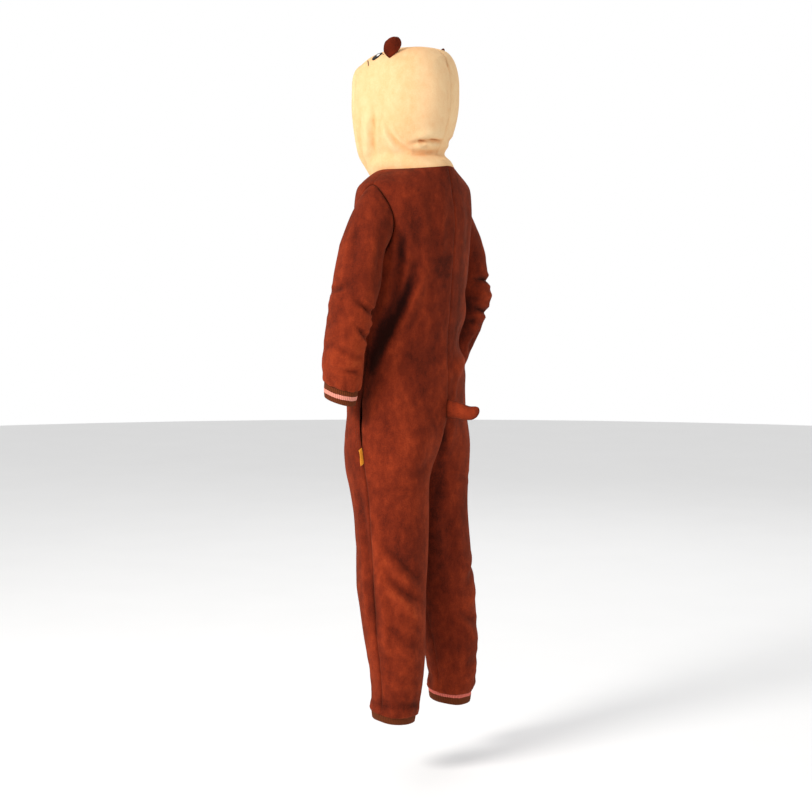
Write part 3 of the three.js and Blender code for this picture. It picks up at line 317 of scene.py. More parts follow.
# Front and label
PLACKET = {"half": 17, "thick": 2, "top": 0.5, "bottom": 13.5}
FRONT_SPREAD = 0.64
BUTTON = {"radius": 10, "thick": 3.6, "top": 1350, "bottom": 946, "count": 6, "seat": 0.35}
POCKET = {"top": 12.8, "bottom": 14.55, "mouth": 0.016, "gape": 4, "gape_width": 13}
LABEL = {"top": 14.42, "bottom": 14.86, "out": 10, "droop": 5, "sway": -1, "thick": 1}


def smooth(x):
    """From 0 to 1 without a corner at either end."""
    t = np.clip(x, 0, 1)
    return t * t * (3 - 2 * t)


def power(x, fullness):
    """A sine or cosine bent so that the oval it draws is fuller than an ellipse."""
    return np.sign(x) * np.abs(x) ** (2 / fullness)


def column(rows, name, place):
    """One column of a table at places counted in rows, on a smooth curve through the rows."""
    values = rows[name]
    last = len(values) - 1
    place = np.asarray(place, float)
    i = np.clip(np.floor(place).astype(int), 0, last - 1)
    f = place - i
    a, b, c, d = (values[np.clip(i + k, 0, last)] for k in (-1, 0, 1, 2))
    return b + 0.5 * f * (c - a + f * (2 * a - 5 * b + 4 * c - d + f * (3 * (b - c) + d - a)))


def stack(x, y, z):
    return np.stack(np.broadcast_arrays(x, y, z), -1).astype(float)


def unit(v):
    return v / np.maximum(np.linalg.norm(v, axis=-1, keepdims=True), 1e-9)


def lerp(a, b, t):
    return a + (b - a) * np.asarray(t)[..., None]


def circle(count):
    """Angles evenly spaced round a circle."""
    return 2 * math.pi * np.arange(count) / count


# A random lattice, smoothly read between its points, for the cloth's small unevenness
LATTICE = 32
LATTICE_SEED = 7
lattice_values = np.random.default_rng(LATTICE_SEED).uniform(-1, 1, (LATTICE, LATTICE, LATTICE))


def uneven(points, cell, shift):
    """Smooth random values from -1 to 1 that change over about a cell's width."""
    q = points / cell + shift * 5.17
    base = np.floor(q).astype(int)
    f = q - base
    f = f * f * (3 - 2 * f)
    total = 0
    for corner in range(8):
        step = np.array([corner & 1, corner >> 1 & 1, corner >> 2 & 1])
        share = np.prod(np.where(step, f, 1 - f), -1)
        x, y, z = np.moveaxis((base + step) % LATTICE, -1, 0)
        total = total + share * lattice_values[x, y, z]
    return total


# Shares of a fold: the length over which it fades, the depth left at its ends, its crease's width, and the
# lip beside a trough. Folds wider than NARROW_FOLD get less painted shade.
PATH_STEPS = 3
FADE_LENGTH = 0.3
END_DEPTH = 0.25
CREASE_WIDTH = 0.32
LIP = {"high": 0.22, "at": 1.75, "wide": 0.6}
NARROW_FOLD = 16
WIDE_FOLD_LOSS = 1.6


def ripple(points, sizes):
    return sum(size * uneven(points, cell, shift) for cell, size, shift in sizes)


def rounded(path):
    """A path as points on a smooth curve, so that it follows the cloth's curve between the points given."""
    path = np.array(path, float)
    places = np.linspace(0, len(path) - 1, PATH_STEPS * (len(path) - 1) + 1)
    return np.stack([column({"at": part}, "at", places) for part in path.T], axis=-1)


def fold_depth(folds, points):
    """How far a list of folds moves points of the cloth, and how much shade is painted for them, most for the
    narrow ones. Each fold fades out towards its two ends."""
    depth = np.zeros(points.shape[:-1])
    shade = np.zeros(points.shape[:-1])
    for path, width, deep, crease in folds:
        path = rounded(path)
        near = np.full(depth.shape, np.inf)
        place = np.zeros(depth.shape)
        spans = np.linalg.norm(np.diff(path, axis=0), axis=1)
        before = np.concatenate([[0], np.cumsum(spans)])
        for k, span in enumerate(spans):
            way = (path[k + 1] - path[k]) / span
            t = np.clip((points - path[k]) @ way, 0, span)
            gap = np.linalg.norm(points - path[k] - t[..., None] * way, axis=-1)
            closer = gap < near
            near = np.where(closer, gap, near)
            place = np.where(closer, (before[k] + t) / before[-1], place)
        fade = END_DEPTH + (1 - END_DEPTH) * smooth(np.minimum(place, 1 - place) / FADE_LENGTH)
        across = near / width
        shape = (1 - crease) * np.exp(-(across ** 2)) + crease * np.exp(-((across / CREASE_WIDTH) ** 2))
        lip = LIP["high"] * np.exp(-(((across - LIP["at"]) / LIP["wide"]) ** 2)) if deep < 0 else 0
        step = deep * fade * (shape - lip)
        depth += step
        shade += step * min(1, (NARROW_FOLD / width) ** WIDE_FOLD_LOSS)
    return depth, shade


def body_point(row, along):
    """A place on the body's left half. Along is 0 at the side, 1 in the middle of the back and -1 in the
    middle of the front."""
    row, along = np.broadcast_arrays(np.asarray(row, float), np.asarray(along, float))
    height = column(BODY, "height", row)
    side = column(BODY, "side", row)
    middle = column(BODY, "middle", row)
    below = row > CROTCH_ROW
    share = np.where(below, 1, np.clip(1 - (height - CROTCH_HEIGHT) / SEAT_DEPTH, 0, 1))
    end = math.pi / 2 * (1 + share ** SEAT_CURVE)
    closed = np.maximum(0, -np.cos(end)) ** (2 / BODY_FULLNESS)
    gap = np.where(below, np.maximum(0, column(BODY, "gap", row)), 0)
    half = np.where(below, (side - gap) / 2, side / (1 + closed))
    angle = end * np.abs(along)
    behind = along > 0
    depth = np.where(behind, column(BODY, "back", row), -column(BODY, "front", row))
    drop = np.where(behind, column(BODY, "drop_back", row), column(BODY, "drop_front", row))
    x = side - half + half * power(np.cos(angle), BODY_FULLNESS)
    y = middle + depth * power(np.sin(angle), BODY_FULLNESS)
    z = height - drop * (1 - np.cos(angle)) - column(BODY, "tilt", row) * (y - middle)
    return stack(np.maximum(0, x), y, z)


def armhole_along(row, behind):
    """Where the armhole's edge runs, from the shoulder to the armpit."""
    phase = np.clip((row - SHOULDER_ROW) / (ARMPIT_ROW - SHOULDER_ROW), 0, 1)
    reach = np.where(behind, ARMHOLE_BACK, ARMHOLE_FRONT)
    depth = np.where(behind, column(BODY, "back", row), column(BODY, "front", row))
    out = reach * np.abs(np.sin(math.pi * phase)) ** ARMHOLE_ROUND
    return np.arcsin((out / depth) ** (BODY_FULLNESS / 2)) / (math.pi / 2)


def crown_height(y):
    """The height of the crown's ridge."""
    return column(CROWN, "height", np.interp(y, CROWN["y"], np.arange(len(CROWN["y"]))))


def hood_point(row, along):
    """A place on the hood's left half: rows up to the crown's ridge, along from the face opening at -1."""
    row, along = np.broadcast_arrays(np.asarray(row, float), np.asarray(along, float))
    base = np.minimum(row, HOOD_ROWS)
    climb = np.clip((row - HOOD_ROWS) / CROWN_STEPS, 0, 1) * math.pi / 2
    wide = column(HOOD, "side", base)
    middle = column(HOOD, "middle", base)
    edge = np.arccos(np.clip(column(HOOD, "edge_x", base) / wide, 0, 1) ** (BODY_FULLNESS / 2))
    behind = along > 0
    angle = np.where(behind, along * math.pi / 2, along * edge)
    swing = power(np.sin(angle), BODY_FULLNESS)
    depth = column(HOOD, "back", base)
    back = depth + (CROWN_BACK - middle - depth) * np.sin(climb)
    front = (middle - column(HOOD, "edge_y", base)) / power(np.sin(edge), BODY_FULLNESS)
    y = middle + np.where(behind, back, front) * swing
    x = wide * power(np.cos(angle), BODY_FULLNESS) * power(np.cos(climb), CROWN_FULLNESS)
    sag = (np.sin(angle) / np.sin(edge)) ** 2
    turn = 1 - np.cos(angle)
    share = np.where(behind, turn, turn + (sag - turn) * smooth(row / HOOD_SAG_ROWS))
    drop = np.where(behind, column(HOOD, "drop_back", base), column(HOOD, "drop_front", base))
    level = column(HOOD, "height", base) - share * drop
    return stack(x, y, level + (crown_height(y) - level) * power(np.sin(climb), CROWN_FULLNESS))


def surface_normal(surface, row, along):
    down = surface(row + NORMAL_STEP, along) - surface(row - NORMAL_STEP, along)
    turn = surface(row, along + NORMAL_STEP) - surface(row, along - NORMAL_STEP)
    return unit(np.cross(down, turn))


def body_normal(row, along):
    row, along = np.broadcast_arrays(np.asarray(row, float), np.asarray(along, float))
    place = np.clip(row, NORMAL_STEP, len(BODY["height"]) - 1 - NORMAL_STEP)
    n = surface_normal(body_point, place, along)
    other = surface_normal(body_point, place, -along)
    middle = np.abs(along) > 0.999
    n = np.where((middle & (row >= CROTCH_ROW))[..., None], n + other, n)
    n[..., 0] = np.where(middle, np.minimum(0, n[..., 0]), n[..., 0])
    return unit(n)


def hood_normal(row, along):
    place = np.clip(row, NORMAL_STEP, CROWN_TOP - NORMAL_STEP)
    n = -surface_normal(hood_point, place, np.clip(along, NORMAL_STEP - 1, 1))
    n[..., 0] = np.where((np.asarray(row) >= CROWN_TOP) | (np.asarray(along) > 0.999), 0, n[..., 0])
    return unit(n)


def neck_normal(along):
    """The way out of the neck seam, which body and hood share."""
    return unit(hood_normal(np.zeros_like(along), along) + body_normal(np.zeros_like(along), along))


def mirrored(points, mirror):
    return points * np.array([mirror, 1, 1])


def drawn_in(gap, pucker, strength):
    """How a seam draws in and puckers cloth that lies this far from it."""
    seam = -SEAM_DEPTH * np.exp(-((gap / SEAM_WIDTH) ** 2))
    return strength * (seam + PUCKER_DEPTH * pucker * np.exp(-gap / PUCKER_WIDTH))


def relief_and_painted_shade(there, folds, seams, calm=1):
    """How far the cloth stands out from its plain form, and how much shade is painted into its colour: folds,
    unevenness, seams and the puckers beside them. Where calm is nought the cloth lies flat under what is sewn
    on it."""
    total, shade = folds
    for cell, size, shift in FLUTTER:
        total = total + size * uneven(there * (1, 1, FLUTTER_LENGTHWISE), cell, shift)
    total = total * calm
    shade = shade * calm
    pucker = uneven(there, PUCKER_PITCH, PUCKER_SHIFT)
    for gap, strength in seams:
        drawn = drawn_in(gap, pucker, strength)
        total = total + drawn
        shade = shade + drawn
    return total, shade


def run(points, axis):
    """Length along a grid from its first line, in one direction."""
    steps = np.linalg.norm(np.diff(points, axis=axis), axis=-1)
    start = np.zeros_like(np.take(steps, [0], axis))
    return np.concatenate([start, np.cumsum(steps, axis)], axis)


def from_end(lengths, axis):
    """Length back from the last line of a grid."""
    return np.take(lengths, [-1], axis) - lengths


def pitch(near, fine):
    """Shares from 0 to 1, a few close to each end and then evenly spaced."""
    inner = np.linspace(near[-1], 1 - near[-1], fine)
    return np.concatenate([near[:-1], inner, 1 - np.array(near[:-1][::-1])])


COLUMNS = pitch([0, 0.004, 0.009, 0.016, 0.026], 58)
SLEEVE_ROUNDS = 120
FINE_ROWS = 900


def even_rows(surface, along, first, last, count):
    """Rows that lie about evenly far apart on the cloth."""
    fine = np.linspace(first, last, FINE_ROWS)
    length = run(surface(fine, np.full_like(fine, along)), 0)
    return np.interp(np.linspace(0, length[-1], count), length, fine)


def body_rows():
    neck = np.array([0, 0.1, 0.22, 0.4])
    shoulder = even_rows(body_point, 0.0, 0.6, SHOULDER_ROW, 20)[:-1]
    armhole = np.linspace(SHOULDER_ROW, ARMPIT_ROW, SLEEVE_ROUNDS // 2 + 1)[:-1]
    rest = even_rows(body_point, 0.0, ARMPIT_ROW, 25, 235)
    return np.concatenate([neck, shoulder, armhole, rest])


BODY_GRID_ROWS = body_rows()

# Leg hems: the rows where each thing starts, how far the hem folds over, slides down and stands clear
HEM_ROWS = {"slide": 20.5, "gather": 21.6, "flat": 22.6, "crease": 22.85, "clear": 23.6, "end": 24}
HEM_ROLL = {"left": 1.8, "right": 0.8}
HEM_SLIDE = {"left": 18, "right": 8}
HEM_CLEAR = {"left": 3.2, "right": 2.8}
HEM_SEAM_LOSS = 0.85

# How deep the quieter seams are beside the others, and how soon the seam's own way out is lost
SHOULDER_SEAM = 0.3
MIDDLE_SEAM = 0.55
HOOD_SEAM = 0.7
NECK_ROWS = 0.8
AT_MIDDLE = 0.9999


def leg_middle(row):
    """The middle of the leg at a row, without its height."""
    row = np.asarray(row, float)
    x = (column(BODY, "side", row) + column(BODY, "gap", row)) / 2
    return stack(x, column(BODY, "middle", row), 0 * row)


def hem_crease(row, points):
    """Where a slipped hem folds over on itself, on some stretches more than on others."""
    stretches = 0.75 + 0.6 * uneven(points * (1, 1, 0), 55, 57)
    return np.exp(-(((row - HEM_ROWS["crease"]) / 0.3) ** 2)) * stretches


def slump(points, row, side):
    """A leg's hem has slid down over its cuff and stands clear of it."""
    away = unit((points - leg_middle(row)) * (1, 1, 0))
    clear = HEM_CLEAR[side] * smooth((row - HEM_ROWS["clear"]) / 1.2)
    clear = clear - HEM_ROLL[side] * hem_crease(row, points)
    out = points + away * clear[..., None]
    slide = HEM_SLIDE[side] * (1 + 0.25 * uneven(points * (1, 1, 0), 60, 51))
    out[..., 2] -= slide * smooth((row - HEM_ROWS["slide"]) / 3.5)
    return out


def gathers(points, row):
    """Small upright folds where the hem is drawn in by the cuff."""
    near = smooth((row - HEM_ROWS["gather"]) / 1.6) * (1 - 0.6 * smooth(row - HEM_ROWS["end"]))
    return near * ripple(points * (1, 1, 0.12), HEM_GATHERS)


def off_the_neck(row):
    """How fully the relief shows at a row, as the neck seam holds the cloth."""
    return smooth(0.35 + row / 1.5)


def from_neck(row, along, normals):
    """Normals that turn from the neck seam's way out to the cloth's own."""
    neck = neck_normal(along[0])
    return unit(lerp(np.broadcast_to(neck, normals.shape), normals, smooth(row / NECK_ROWS)))


def body_cloth(face, side):
    """The outer points, the painted shade of its folds, seams, gathers and hem crease, and the normals of one
    body panel.
    """
    mirror = SIDES[side]
    behind = face > 0
    row, share = np.meshgrid(BODY_GRID_ROWS, COLUMNS, indexing="ij")
    start = armhole_along(row, behind)
    phase = np.clip((row - POCKET["top"]) / (POCKET["bottom"] - POCKET["top"]), 0, 1)
    mouth = np.sin(math.pi * phase)
    if not behind:
        start = start + POCKET["mouth"] * mouth
    along = face * (start + (1 - start) * share)
    points = body_point(row, along)
    normals = from_neck(row, along, body_normal(row, along))
    there = mirrored(points, mirror)
    across = run(points, 1)
    down = run(points, 0)
    shoulder = SHOULDER_SEAM + (1 - SHOULDER_SEAM) * smooth((row - SHOULDER_ROW + 0.4) / 0.4)
    flat_hem = 1 - HEM_SEAM_LOSS * smooth(row - HEM_ROWS["flat"])
    seams = [(across, shoulder * flat_hem), (from_end(across, 1), MIDDLE_SEAM * flat_hem), (down, 1)]
    beside = smooth((points[..., 0] - PLACKET["half"]) / 24)
    calm = 1 if behind else np.where(row < PLACKET["bottom"] + 0.3, beside, 1)
    out, shade = relief_and_painted_shade(there, fold_depth(BODY_FOLDS, there), seams, calm)
    gathered = gathers(there, row)
    out = out * off_the_neck(row) + gathered
    if not behind:
        out = out + POCKET["gape"] * mouth * np.exp(-across / POCKET["gape_width"])
    moved = points + normals * out[..., None]
    moved[..., 0] = np.maximum(0, moved[..., 0])
    moved[..., 0] = np.where((share > AT_MIDDLE) & (row < CROTCH_ROW), 0, moved[..., 0])
    # The hem's crease is also painted darker, as painted shade
    crease = HEM_ROLL[side] * hem_crease(row, points)
    return slump(moved, row, side), shade + gathered - 3 * crease, normals


def armhole_place(turn):
    """The row and place on the body where the sleeve's seam is at a turn round it."""
    turn = np.asarray(turn, float) % 1
    behind = turn <= 0.5
    share = np.where(behind, 2 * turn, 2 - 2 * turn)
    row = SHOULDER_ROW + (ARMPIT_ROW - SHOULDER_ROW) * share
    along = armhole_along(row, behind)
    return row, np.where(behind, along, -along)


def sleeve_shift(side, row):
    """How far the right sleeve's elbow and forearm lie from where the left ones would mirror to."""
    if side == "left":
        return np.zeros(np.shape(row) + (3,))
    share = smooth((row - 3) / 5)
    phase = np.clip((row - RIGHT_ELBOW["from_row"]) / RIGHT_ELBOW["rows"], 0, 1)
    elbow = np.sin(math.pi * phase) ** 2
    x = RIGHT_FOREARM[0] * share + RIGHT_ELBOW["out"] * elbow
    return stack(x, RIGHT_FOREARM[1] * share + RIGHT_ELBOW["back"] * elbow, 0 * share)


def sleeve_ring(row, turn, side):
    angle = 2 * math.pi * turn
    lean = SLEEVE_LEAN * (1 - smooth(row / 2.5))
    wide, deep = column(SLEEVE, "across", row), column(SLEEVE, "depth", row)
    y = deep * np.sin(angle)
    z = wide * np.cos(angle) * lean - column(SLEEVE, "tilt", row) * y
    centre = stack(column(SLEEVE, "x", row), column(SLEEVE, "y", row), column(SLEEVE, "height", row))
    return centre + stack(wide * np.cos(angle), y, z) + sleeve_shift(side, row)


def sleeve_surface(row, turn, side):
    row, turn = np.broadcast_arrays(np.asarray(row, float), np.asarray(turn, float))
    end = sleeve_ring(np.maximum(0, row), turn, side)
    start = body_point(*armhole_place(turn))
    t = np.minimum(row, 0) + 1
    high = (1 + np.cos(2 * math.pi * turn)) / 2
    bend = lerp(start, end, np.full(row.shape, CAP_ALONG))
    bend[..., 0] += CAP_BEND["out"] * high + CAP_BEND["under_out"] * (1 - high)
    bend[..., 2] += CAP_BEND["up"] * high + CAP_BEND["under_up"] * (1 - high)
    t = t[..., None]
    cap = start * (1 - t) ** 2 + bend * 2 * t * (1 - t) + end * t * t
    return np.where((row >= 0)[..., None], end, cap)


def sleeve_normal(row, turn, side):
    angle = 2 * math.pi * turn
    wide, deep = column(SLEEVE, "across", np.maximum(row, 0)), column(SLEEVE, "depth", np.maximum(row, 0))
    last = len(SLEEVE["x"]) - 3
    turned = np.where(row > last, 1.2 * (row - last), 0)
    flat = unit(stack(np.cos(angle) / wide, np.sin(angle) / deep, 0 * angle))
    ring = unit(stack(flat[..., 0], flat[..., 1], -turned))
    cap = surface_normal(lambda r, q: sleeve_surface(r, q, side), np.maximum(row, -0.96), turn)
    return unit(np.where((row >= 0)[..., None], ring, lerp(cap, ring, smooth((row + 0.4) / 0.4))))


WRIST_ROWS = {"gather": 6.2, "end": 8.2}


def sleeve_cloth(side):
    """The outer points, the painted shade of its folds, seams and wrist gathers, and the normals of a sleeve.
    """
    cap = np.array([-1, -0.985, -0.965, -0.935, -0.895])
    upper = np.linspace(-0.85, 0, 18)[:-1]
    lower = even_rows(lambda r, q: sleeve_surface(r, q, side), 0.0, 0, len(SLEEVE["x"]) - 1, 84)
    turns = np.arange(SLEEVE_ROUNDS) / SLEEVE_ROUNDS
    row, turn = np.meshgrid(np.concatenate([cap, upper, lower]), turns, indexing="ij")
    points = sleeve_surface(row, turn, side)
    normals = sleeve_normal(row, turn, side)
    edge = unit(body_normal(*armhole_place(turns)) + normals[0])
    down = run(points, 0)
    normals = unit(lerp(np.broadcast_to(edge, normals.shape), normals, smooth(down / 14)))
    # The underarm seam runs down the inside, under the armpit
    round_it = np.linalg.norm(points - points[:, SLEEVE_ROUNDS // 2][:, None], axis=-1)
    there = mirrored(points, SIDES[side])
    share = smooth(down / 40)
    pairs = zip(fold_depth(SLEEVE_FOLDS, there), fold_depth(BODY_FOLDS, there))
    folds = [body + (sleeve - body) * share for sleeve, body in pairs]
    out, shade = relief_and_painted_shade(there, folds, [(down, 1), (round_it, 1)])
    near = smooth((row - WRIST_ROWS["gather"]) / 1.6) * (1 - 0.6 * smooth((row - WRIST_ROWS["end"]) / 0.8))
    gathered = near * ripple(there * (1, 1, 0.15), WRIST_GATHERS)
    return points + normals * (out + gathered)[..., None], shade + gathered, normals


def hood_cloth(side):
    """The outer points, the painted shade of its folds, seams and face hem, and the normals of one half of
    the hood.
    """
    rows = np.concatenate([
        [0, 0.08, 0.16, 0.28],
        even_rows(hood_point, 0.0, 0.42, HOOD_ROWS, 46)[:-1],
        HOOD_ROWS + CROWN_STEPS * np.linspace(0, 1, 44),
    ])
    columns = np.concatenate([-COLUMNS[:0:-1], COLUMNS])
    row, along = np.meshgrid(rows, columns, indexing="ij")
    points = hood_point(row, along)
    normals = from_neck(row, along, hood_normal(row, along))
    there = mirrored(points, SIDES[side])
    across = run(points, 1)
    down = run(points, 0)
    on_face = smooth((row - HOOD_ROWS) / 2) * smooth((24 - points[..., 1]) / 20)
    seams = [(down, 1), (from_end(across, 1), HOOD_SEAM), (from_end(down, 0), HOOD_SEAM)]
    out, shade = relief_and_painted_shade(there, fold_depth(HOOD_FOLDS, there), seams, 1 - 0.95 * on_face)
    # The face opening has a turned hem with a stitched groove. The same shape is painted in: painted light on
    # the roll, painted shade in the groove.
    hem = 0.9 * np.exp(-((across - 8) / 7) ** 2) - 1.1 * np.exp(-(((across - FACE_HEM) / 1.8) ** 2))
    out = (out + hem) * off_the_neck(row)
    moved = points + normals * out[..., None]
    moved[..., 0] = np.where(row >= CROWN_TOP, 0, np.maximum(0, moved[..., 0]))
    moved[..., 0] = np.where(along > AT_MIDDLE, 0, moved[..., 0])
    return moved, shade + hem, normals


# Painted shade in hollows under the arms, inside the sleeves and on the upper back: a path, how wide, how
# dark and no crease
PAINTED_SHADE_HOLLOWS = [
    ([(112, 100, 1215), (134, 70, 1120), (152, 42, 1050), (168, 14, 980), (178, 4, 925)], 26, -0.3, 0),
    ([(109, 104, 1222), (130, 76, 1120), (150, 46, 1048), (168, 16, 978)], 10, -0.22, 0),
    ([(104, 108, 1130), (128, 84, 1060)], 12, -0.16, 0),
    ([(134, 84, 1300), (136, 80, 1230)], 10, -0.16, 0),
    ([(196, 40, 1200), (196, 44, 1110), (194, 30, 1010)], 12, -0.2, 0),
    ([(-206, 52, 1180), (-208, 40, 1110), (-204, 26, 1030), (-206, 6, 980)], 22, -0.26, 0),
    ([(-232, 64, 1178), (-262, 62, 1172)], 9, -0.2, 0),
    ([(-228, 52, 1110), (-258, 50, 1104)], 9, -0.24, 0),
    ([(-168, 30, 1160), (-166, 20, 1080), (-168, 10, 1010)], 18, -0.2, 0),
    ([(40, 126, 1330), (44, 128, 1250), (30, 128, 1180)], 30, -0.07, 0),
]


# How much lighter or darker each place is painted, as painted light and shade, on the body and on the hood
BODY_PAINTED_LIGHT_AND_SHADE = {"back": -0.04, "legs": 0.03, "left_wrist": 0.17, "right_wrist": -0.03, "inner_leg": -0.3}
HOOD_TONE = {"all": -0.05, "back": 0.22}


def painted_light_and_shade(points):
    """Painted light and shade: paler down the legs, painted light down the left sleeve, darker high on the
    back, painted shade on the inside of the right leg and in the hollows, and the hood paler towards its
    back."""
    x, y, z = np.moveaxis(points, -1, 0)
    sleeve = smooth((np.abs(x) - 205) / 18) * smooth((z - 900) / 30)
    down_sleeve = smooth((1220 - z) / 240)
    body = BODY_PAINTED_LIGHT_AND_SHADE["back"] * smooth((z - 980) / 160) + BODY_PAINTED_LIGHT_AND_SHADE["legs"] * smooth((900 - z) / 120)
    inner = smooth((60 + x) / 60) * smooth(-x / 20) * smooth((790 - z) / 90) * smooth((y + 40) / 50)
    wrist = np.where(x > 0, BODY_PAINTED_LIGHT_AND_SHADE["left_wrist"], BODY_PAINTED_LIGHT_AND_SHADE["right_wrist"])
    tone = body + (wrist * down_sleeve - body) * sleeve
    tone = tone + BODY_PAINTED_LIGHT_AND_SHADE["inner_leg"] * inner + fold_depth(PAINTED_SHADE_HOLLOWS, points)[0]
    hood = HOOD_TONE["back"] * smooth((y - 60) / 60) + HOOD_TONE["all"]
    return tone + (hood - tone) * smooth((z - 1450) / 20)


def place(points):
    """Millimetres above the floor, to metres in the row frame."""
    out = np.asarray(points, float) - (0, 0, CARRIED_AT)
    return out / METRE


def new_object(name, data):
    obj = bpy.data.objects.new(name, data)
    bpy.context.scene.collection.objects.link(obj)
    return obj


def add_object(name, points, faces, material, flags=None):
    """A smooth piece on the body root. Flags are values at its points, which its material reads."""
    mesh = bpy.data.meshes.new(name)
    mesh.from_pydata(place(points).tolist(), [], faces)
    flags = dict(flags or {})
    # Cloth with painted fold shade also gets its painted light and shade by place
    if "relief_and_painted_shade" in flags:
        flags["painted_light_and_shade"] = painted_light_and_shade(np.asarray(points, float))
    mesh.update()
    for label, values in flags.items():
        layer = mesh.attributes.new(label, "FLOAT", "POINT")
        layer.data.foreach_set("value", np.asarray(values, np.float32).ravel())
    mesh.polygons.foreach_set("use_smooth", [True] * len(mesh.polygons))
    mesh.materials.append(material)
    obj = new_object(name, mesh)
    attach(obj, "root")
    return obj


def facing_out(points, faces):
    """Faces turned so that the volume inside them is above nought."""
    total = 0.0
    for size in (3, 4):
        group = np.array([f for f in faces if len(f) == size])
        if not len(group):
            continue
        for k in range(1, size - 1):
            a, b, c = points[group[:, 0]], points[group[:, k]], points[group[:, k + 1]]
            total += float(np.einsum("ij,ij->", a, np.cross(b, c)))
    return [f[::-1] for f in faces] if total < 0 else faces


def grid_normals(points, ring):
    if ring:
        wide = np.concatenate([points[:, -1:], points, points[:, :1]], 1)
        across = wide[:, 2:] - wide[:, :-2]
    else:
        across = np.gradient(points, axis=1)
    return unit(np.cross(np.gradient(points, axis=0), across))


def shell_faces(rows, columns, ring):
    """Faces of a closed shell from an outer and an inner grid."""
    spans = columns if ring else columns - 1
    i, j = np.meshgrid(np.arange(rows - 1), np.arange(spans), indexing="ij")
    a = i * columns + j
    b = a + columns
    d = i * columns + (j + 1) % columns
    c = d + columns
    inner = rows * columns
    outer_faces = np.stack([a, b, c, d], -1).reshape(-1, 4)
    inner_faces = np.stack([a, d, c, b], -1).reshape(-1, 4) + inner
    j = np.arange(spans)
    last = (rows - 1) * columns
    lines = [(j, (j + 1) % columns, False), (last + j, last + (j + 1) % columns, True)]
    if not ring:
        i = np.arange(rows - 1) * columns
        lines += [(i, i + columns, True), (columns - 1 + i, 2 * columns - 1 + i, False)]
    rims = []
    for p, q, back in lines:
        rim = [p, q, q + inner, p + inner]
        rims.append(np.stack(rim[::-1] if back else rim, -1))
    return np.concatenate([outer_faces, inner_faces, *rims]).tolist()


def shell_between(name, outer, inner, material, mirror=1, flags=None, ring=False):
    """A closed shell from an outer and an inner grid."""
    points = mirrored(np.concatenate([outer.reshape(-1, 3), inner.reshape(-1, 3)]), mirror)
    faces = facing_out(points, shell_faces(*outer.shape[:2], ring))
    both = {k: np.concatenate([np.ravel(v), np.ravel(v)]) for k, v in (flags or {}).items()}
    return add_object(name, points, faces, material, both)


def shell(name, outer, thick, material, ring, flags, mirror, hint):
    """A closed shell of cloth inside an outer grid. The hint says roughly which way is out."""
    normals = grid_normals(outer, ring)
    if np.sum(normals * hint) < 0:
        normals = -normals
    return shell_between(name, outer, outer - normals * thick, material, mirror, flags, ring)


def closed_form(name, rings, material, flags=None):
    """A closed body through rings of points, with a middle point at each end."""
    rings = np.asarray(rings, float)
    count, around = rings.shape[:2]
    points = np.concatenate([rings.reshape(-1, 3), [rings[0].mean(0)], [rings[-1].mean(0)]])
    i, j = np.meshgrid(np.arange(count - 1), np.arange(around), indexing="ij")
    a = i * around + j
    b = i * around + (j + 1) % around
    faces = np.stack([a, b, b + around, a + around], -1).reshape(-1, 4).tolist()
    top = (count - 1) * around
    for k in range(around):
        following = (k + 1) % around
        faces.append([following, k, count * around])
        faces.append([top + k, top + following, count * around + 1])
    ended = {k: np.concatenate([np.ravel(v), [0, 0]]) for k, v in (flags or {}).items()}
    return add_object(name, points, facing_out(points, faces), material, ended)


SEARCH_TURNS = 25
SEARCH_STEP = 0.01


def place_over(x, y, row, along):
    """The rows and places along them where the hood passes over places x and y."""
    step = SEARCH_STEP
    for _ in range(SEARCH_TURNS):
        p = hood_point(row, along)
        by_row = (hood_point(row + step, along) - p) / step
        by_along = (hood_point(row, along + step) - p) / step
        scale = by_row[..., 0] * by_along[..., 1] - by_row[..., 1] * by_along[..., 0]
        dx, dy = x - p[..., 0], y - p[..., 1]
        row_step = (dx * by_along[..., 1] - dy * by_along[..., 0]) / scale
        along_step = (by_row[..., 0] * dy - by_row[..., 1] * dx) / scale
        row = np.clip(row + np.clip(row_step, -0.5, 0.5), 0.1, CROWN_TOP - 0.02)
        along = np.clip(along + np.clip(along_step, -0.2, 0.2), -0.99, 0.99)
    return row, along


def over_crown(x, y, out):
    """Points over the left half of the crown, moved out from the cloth, and the normals there."""
    x, y = np.broadcast_arrays(np.asarray(x, float), np.asarray(y, float))
    row, along = place_over(x, y, np.full(x.shape, 8.0), np.where(y > 0, 0.3, -0.3))
    normals = hood_normal(row, along)
    return hood_point(row, along) + normals * np.asarray(out, float)[..., None], normals


# Materials
def blank_material(name, roughness, sheen=0.0, tint=(1, 1, 1), specular=0.25):
    material = bpy.data.materials.new(name)
    material.use_nodes = True
    shader = material.node_tree.nodes["Principled BSDF"]
    shader.inputs["Roughness"].default_value = roughness
    shader.inputs["Sheen Weight"].default_value = sheen
    shader.inputs["Sheen Roughness"].default_value = 0.5
    shader.inputs["Sheen Tint"].default_value = (*tint, 1)
    shader.inputs["Specular IOR Level"].default_value = specular
    return material


def add_node(material, kind, inputs=None, **settings):
    node = material.node_tree.nodes.new(kind)
    for name, value in settings.items():
        setattr(node, name, value)
    for name, value in (inputs or {}).items():
        if isinstance(value, bpy.types.NodeSocket):
            material.node_tree.links.new(value, node.inputs[name])
        else:
            node.inputs[name].default_value = value
    return node


